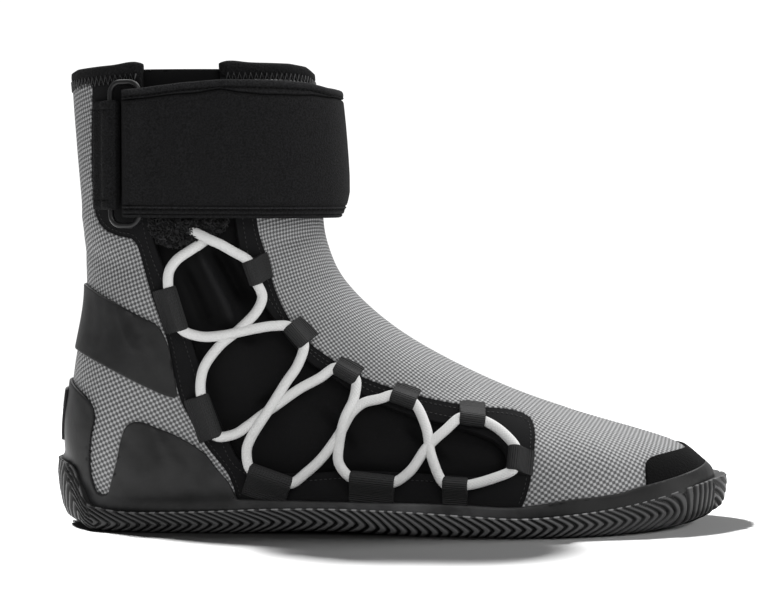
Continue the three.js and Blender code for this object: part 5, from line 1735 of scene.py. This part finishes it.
def strap_place(distance, depth, drop=None, rise=None):
    """Point on the strap's face, at a distance along it and a drop from its top or rise over its foot"""
    k = min(int(np.searchsorted(strap_run, distance)), len(strap_line) - 1)
    top, bottom, half, flare = strap_shape(k)
    z = top - drop if drop is not None else bottom + rise
    x, y = strap_line[k] + strap_out[k] * (half * depth + flare(z))
    return (x, y, z)


lengths = np.arange(3.0, strap_run[-1] - 4, 1.0)
strap_rows = [
    [strap_place(d, 1.1, drop=3.3) for d in lengths],
    [strap_place(d, 0.9, rise=3.55) for d in lengths],
]
strap_seams = stitch_rows("strap_seams", strap_rows, 2.4, 1.5, 0.5, gusset)
finish_piece(strap_seams, gusset, "neoprene", "ankle_strap")
anchor_rows = []
for z in (174.5, 137.2):
    row = []
    for k in range(4, len(anchor_line) - 1):
        half = anchor_shape(k)[2]
        x, y = anchor_line[k] + anchor_out[k] * half * 0.95
        row.append((x, y, z))
    anchor_rows.append(row)
anchor_seams = stitch_rows("anchor_seams", anchor_rows, 2.0, 1.3, 0.5, gusset)
finish_piece(anchor_seams, gusset, "webbing", "strap_anchor")

# Overedge stitching on the collar binding, in a zigzag over its lower edge
zigzag = []
for k in range(2, len(binding_columns) - 2):
    j = binding_columns[k]
    z = COLLAR_Z
    for _ in range(3):
        z = collar_rim(on_form(FORM, at_height(j, z), j)[0])
    zigzag.append((j, z))
zigzag = np.array(zigzag)
places = np.array([on_form(FORM, at_height(j, z - 5), j) for j, z in zigzag])
run = run_along(places[:, :2])
corners = []
for k, d in enumerate(np.arange(0, run[-1], 1.15)):
    j, z = np.interp(d, run, zigzag[:, 0]), np.interp(d, run, zigzag[:, 1])
    drop, offset = ((7.0, 1.35), (3.3, 1.5))[k % 2]
    row = at_height(j, z - drop)
    normal = on_form(FORM_NORMALS, row, j)
    corners.append(on_form(FORM, row, j) + unit(normal * (1, 1, 0)) * offset)
overedge = make_object("collar_overedge", *tube(np.array(corners), 0.36, 8))
overedge_thread, _, _ = new_material("overedge_thread", 0.5, colour=(0.03, 0.03, 0.031))
finish_piece(overedge, overedge_thread, "neoprene", "collar_binding")


# Pile of the keeper: small loops of yarn all over the pad
CURLS_PER_SQUARE_METRE = 900000.0
FULL_TURN = 6.28
curl = []
for turn in np.linspace(0, 1.6 * math.pi, 10):
    curl.append((1.1 * math.cos(turn), 0.5 * math.sin(2 * turn), 1.0 * math.sin(turn) + 0.12 * turn))
curl_points, curl_faces, _ = tube(np.array(curl), 0.24, 5)
curl_mesh = bpy.data.meshes.new("curl")
curl_mesh.from_pydata((np.array(curl_points) * 0.001).tolist(), [], [list(f) for f in curl_faces])
curl_object = bpy.data.objects.new("curl", curl_mesh)
bpy.context.collection.objects.link(curl_object)
yarn, tree, surface = new_material("pile_yarn", 0.85, 0.2)
dyed = colour_ramp(tree, grain(tree, 450.0), [(0.35, (0.003, 0.003, 0.0032)), (0.65, (0.03, 0.03, 0.031))])
tree.links.new(dyed, surface.inputs["Base Color"])
group = bpy.data.node_groups.new("pile", "GeometryNodeTree")
group.interface.new_socket("Pad", in_out="INPUT", socket_type="NodeSocketGeometry")
yarn_socket = group.interface.new_socket("Yarn", in_out="INPUT", socket_type="NodeSocketObject").identifier
dye_socket = group.interface.new_socket("Dye", in_out="INPUT", socket_type="NodeSocketMaterial").identifier
group.interface.new_socket("Pile", in_out="OUTPUT", socket_type="NodeSocketGeometry")
start = group.nodes.new("NodeGroupInput")
spread = group.nodes.new("GeometryNodeDistributePointsOnFaces")
spread.inputs["Density"].default_value = CURLS_PER_SQUARE_METRE
strand = group.nodes.new("GeometryNodeObjectInfo")
turns = group.nodes.new("FunctionNodeRandomValue")
turns.data_type = "FLOAT_VECTOR"
turns.inputs["Max"].default_value = (FULL_TURN, FULL_TURN, FULL_TURN)
sizes = group.nodes.new("FunctionNodeRandomValue")
sizes.inputs[2].default_value = 0.6
sizes.inputs[3].default_value = 1.3
placed = group.nodes.new("GeometryNodeInstanceOnPoints")
real = group.nodes.new("GeometryNodeRealizeInstances")
dyeing = group.nodes.new("GeometryNodeSetMaterial")
end = group.nodes.new("NodeGroupOutput")
for a, b in (
    (start.outputs["Pad"], spread.inputs["Mesh"]), (start.outputs["Yarn"], strand.inputs["Object"]),
    (spread.outputs["Points"], placed.inputs["Points"]),
    (strand.outputs["Geometry"], placed.inputs["Instance"]),
    (turns.outputs[0], placed.inputs["Rotation"]), (sizes.outputs[1], placed.inputs["Scale"]),
    (placed.outputs[0], real.inputs[0]), (real.outputs[0], dyeing.inputs["Geometry"]),
    (start.outputs["Dye"], dyeing.inputs["Material"]), (dyeing.outputs[0], end.inputs[0]),
):
    group.links.new(a, b)
pile = bpy.data.objects.new("keeper_pile", keeper.data.copy())
bpy.context.collection.objects.link(pile)
made_plain(pile, group, {yarn_socket: curl_object, dye_socket: yarn})
bpy.data.objects.remove(curl_object)
for polygon in pile.data.polygons:
    polygon.use_smooth = True
finish_piece(pile, yarn, "neoprene", "lace_keeper")
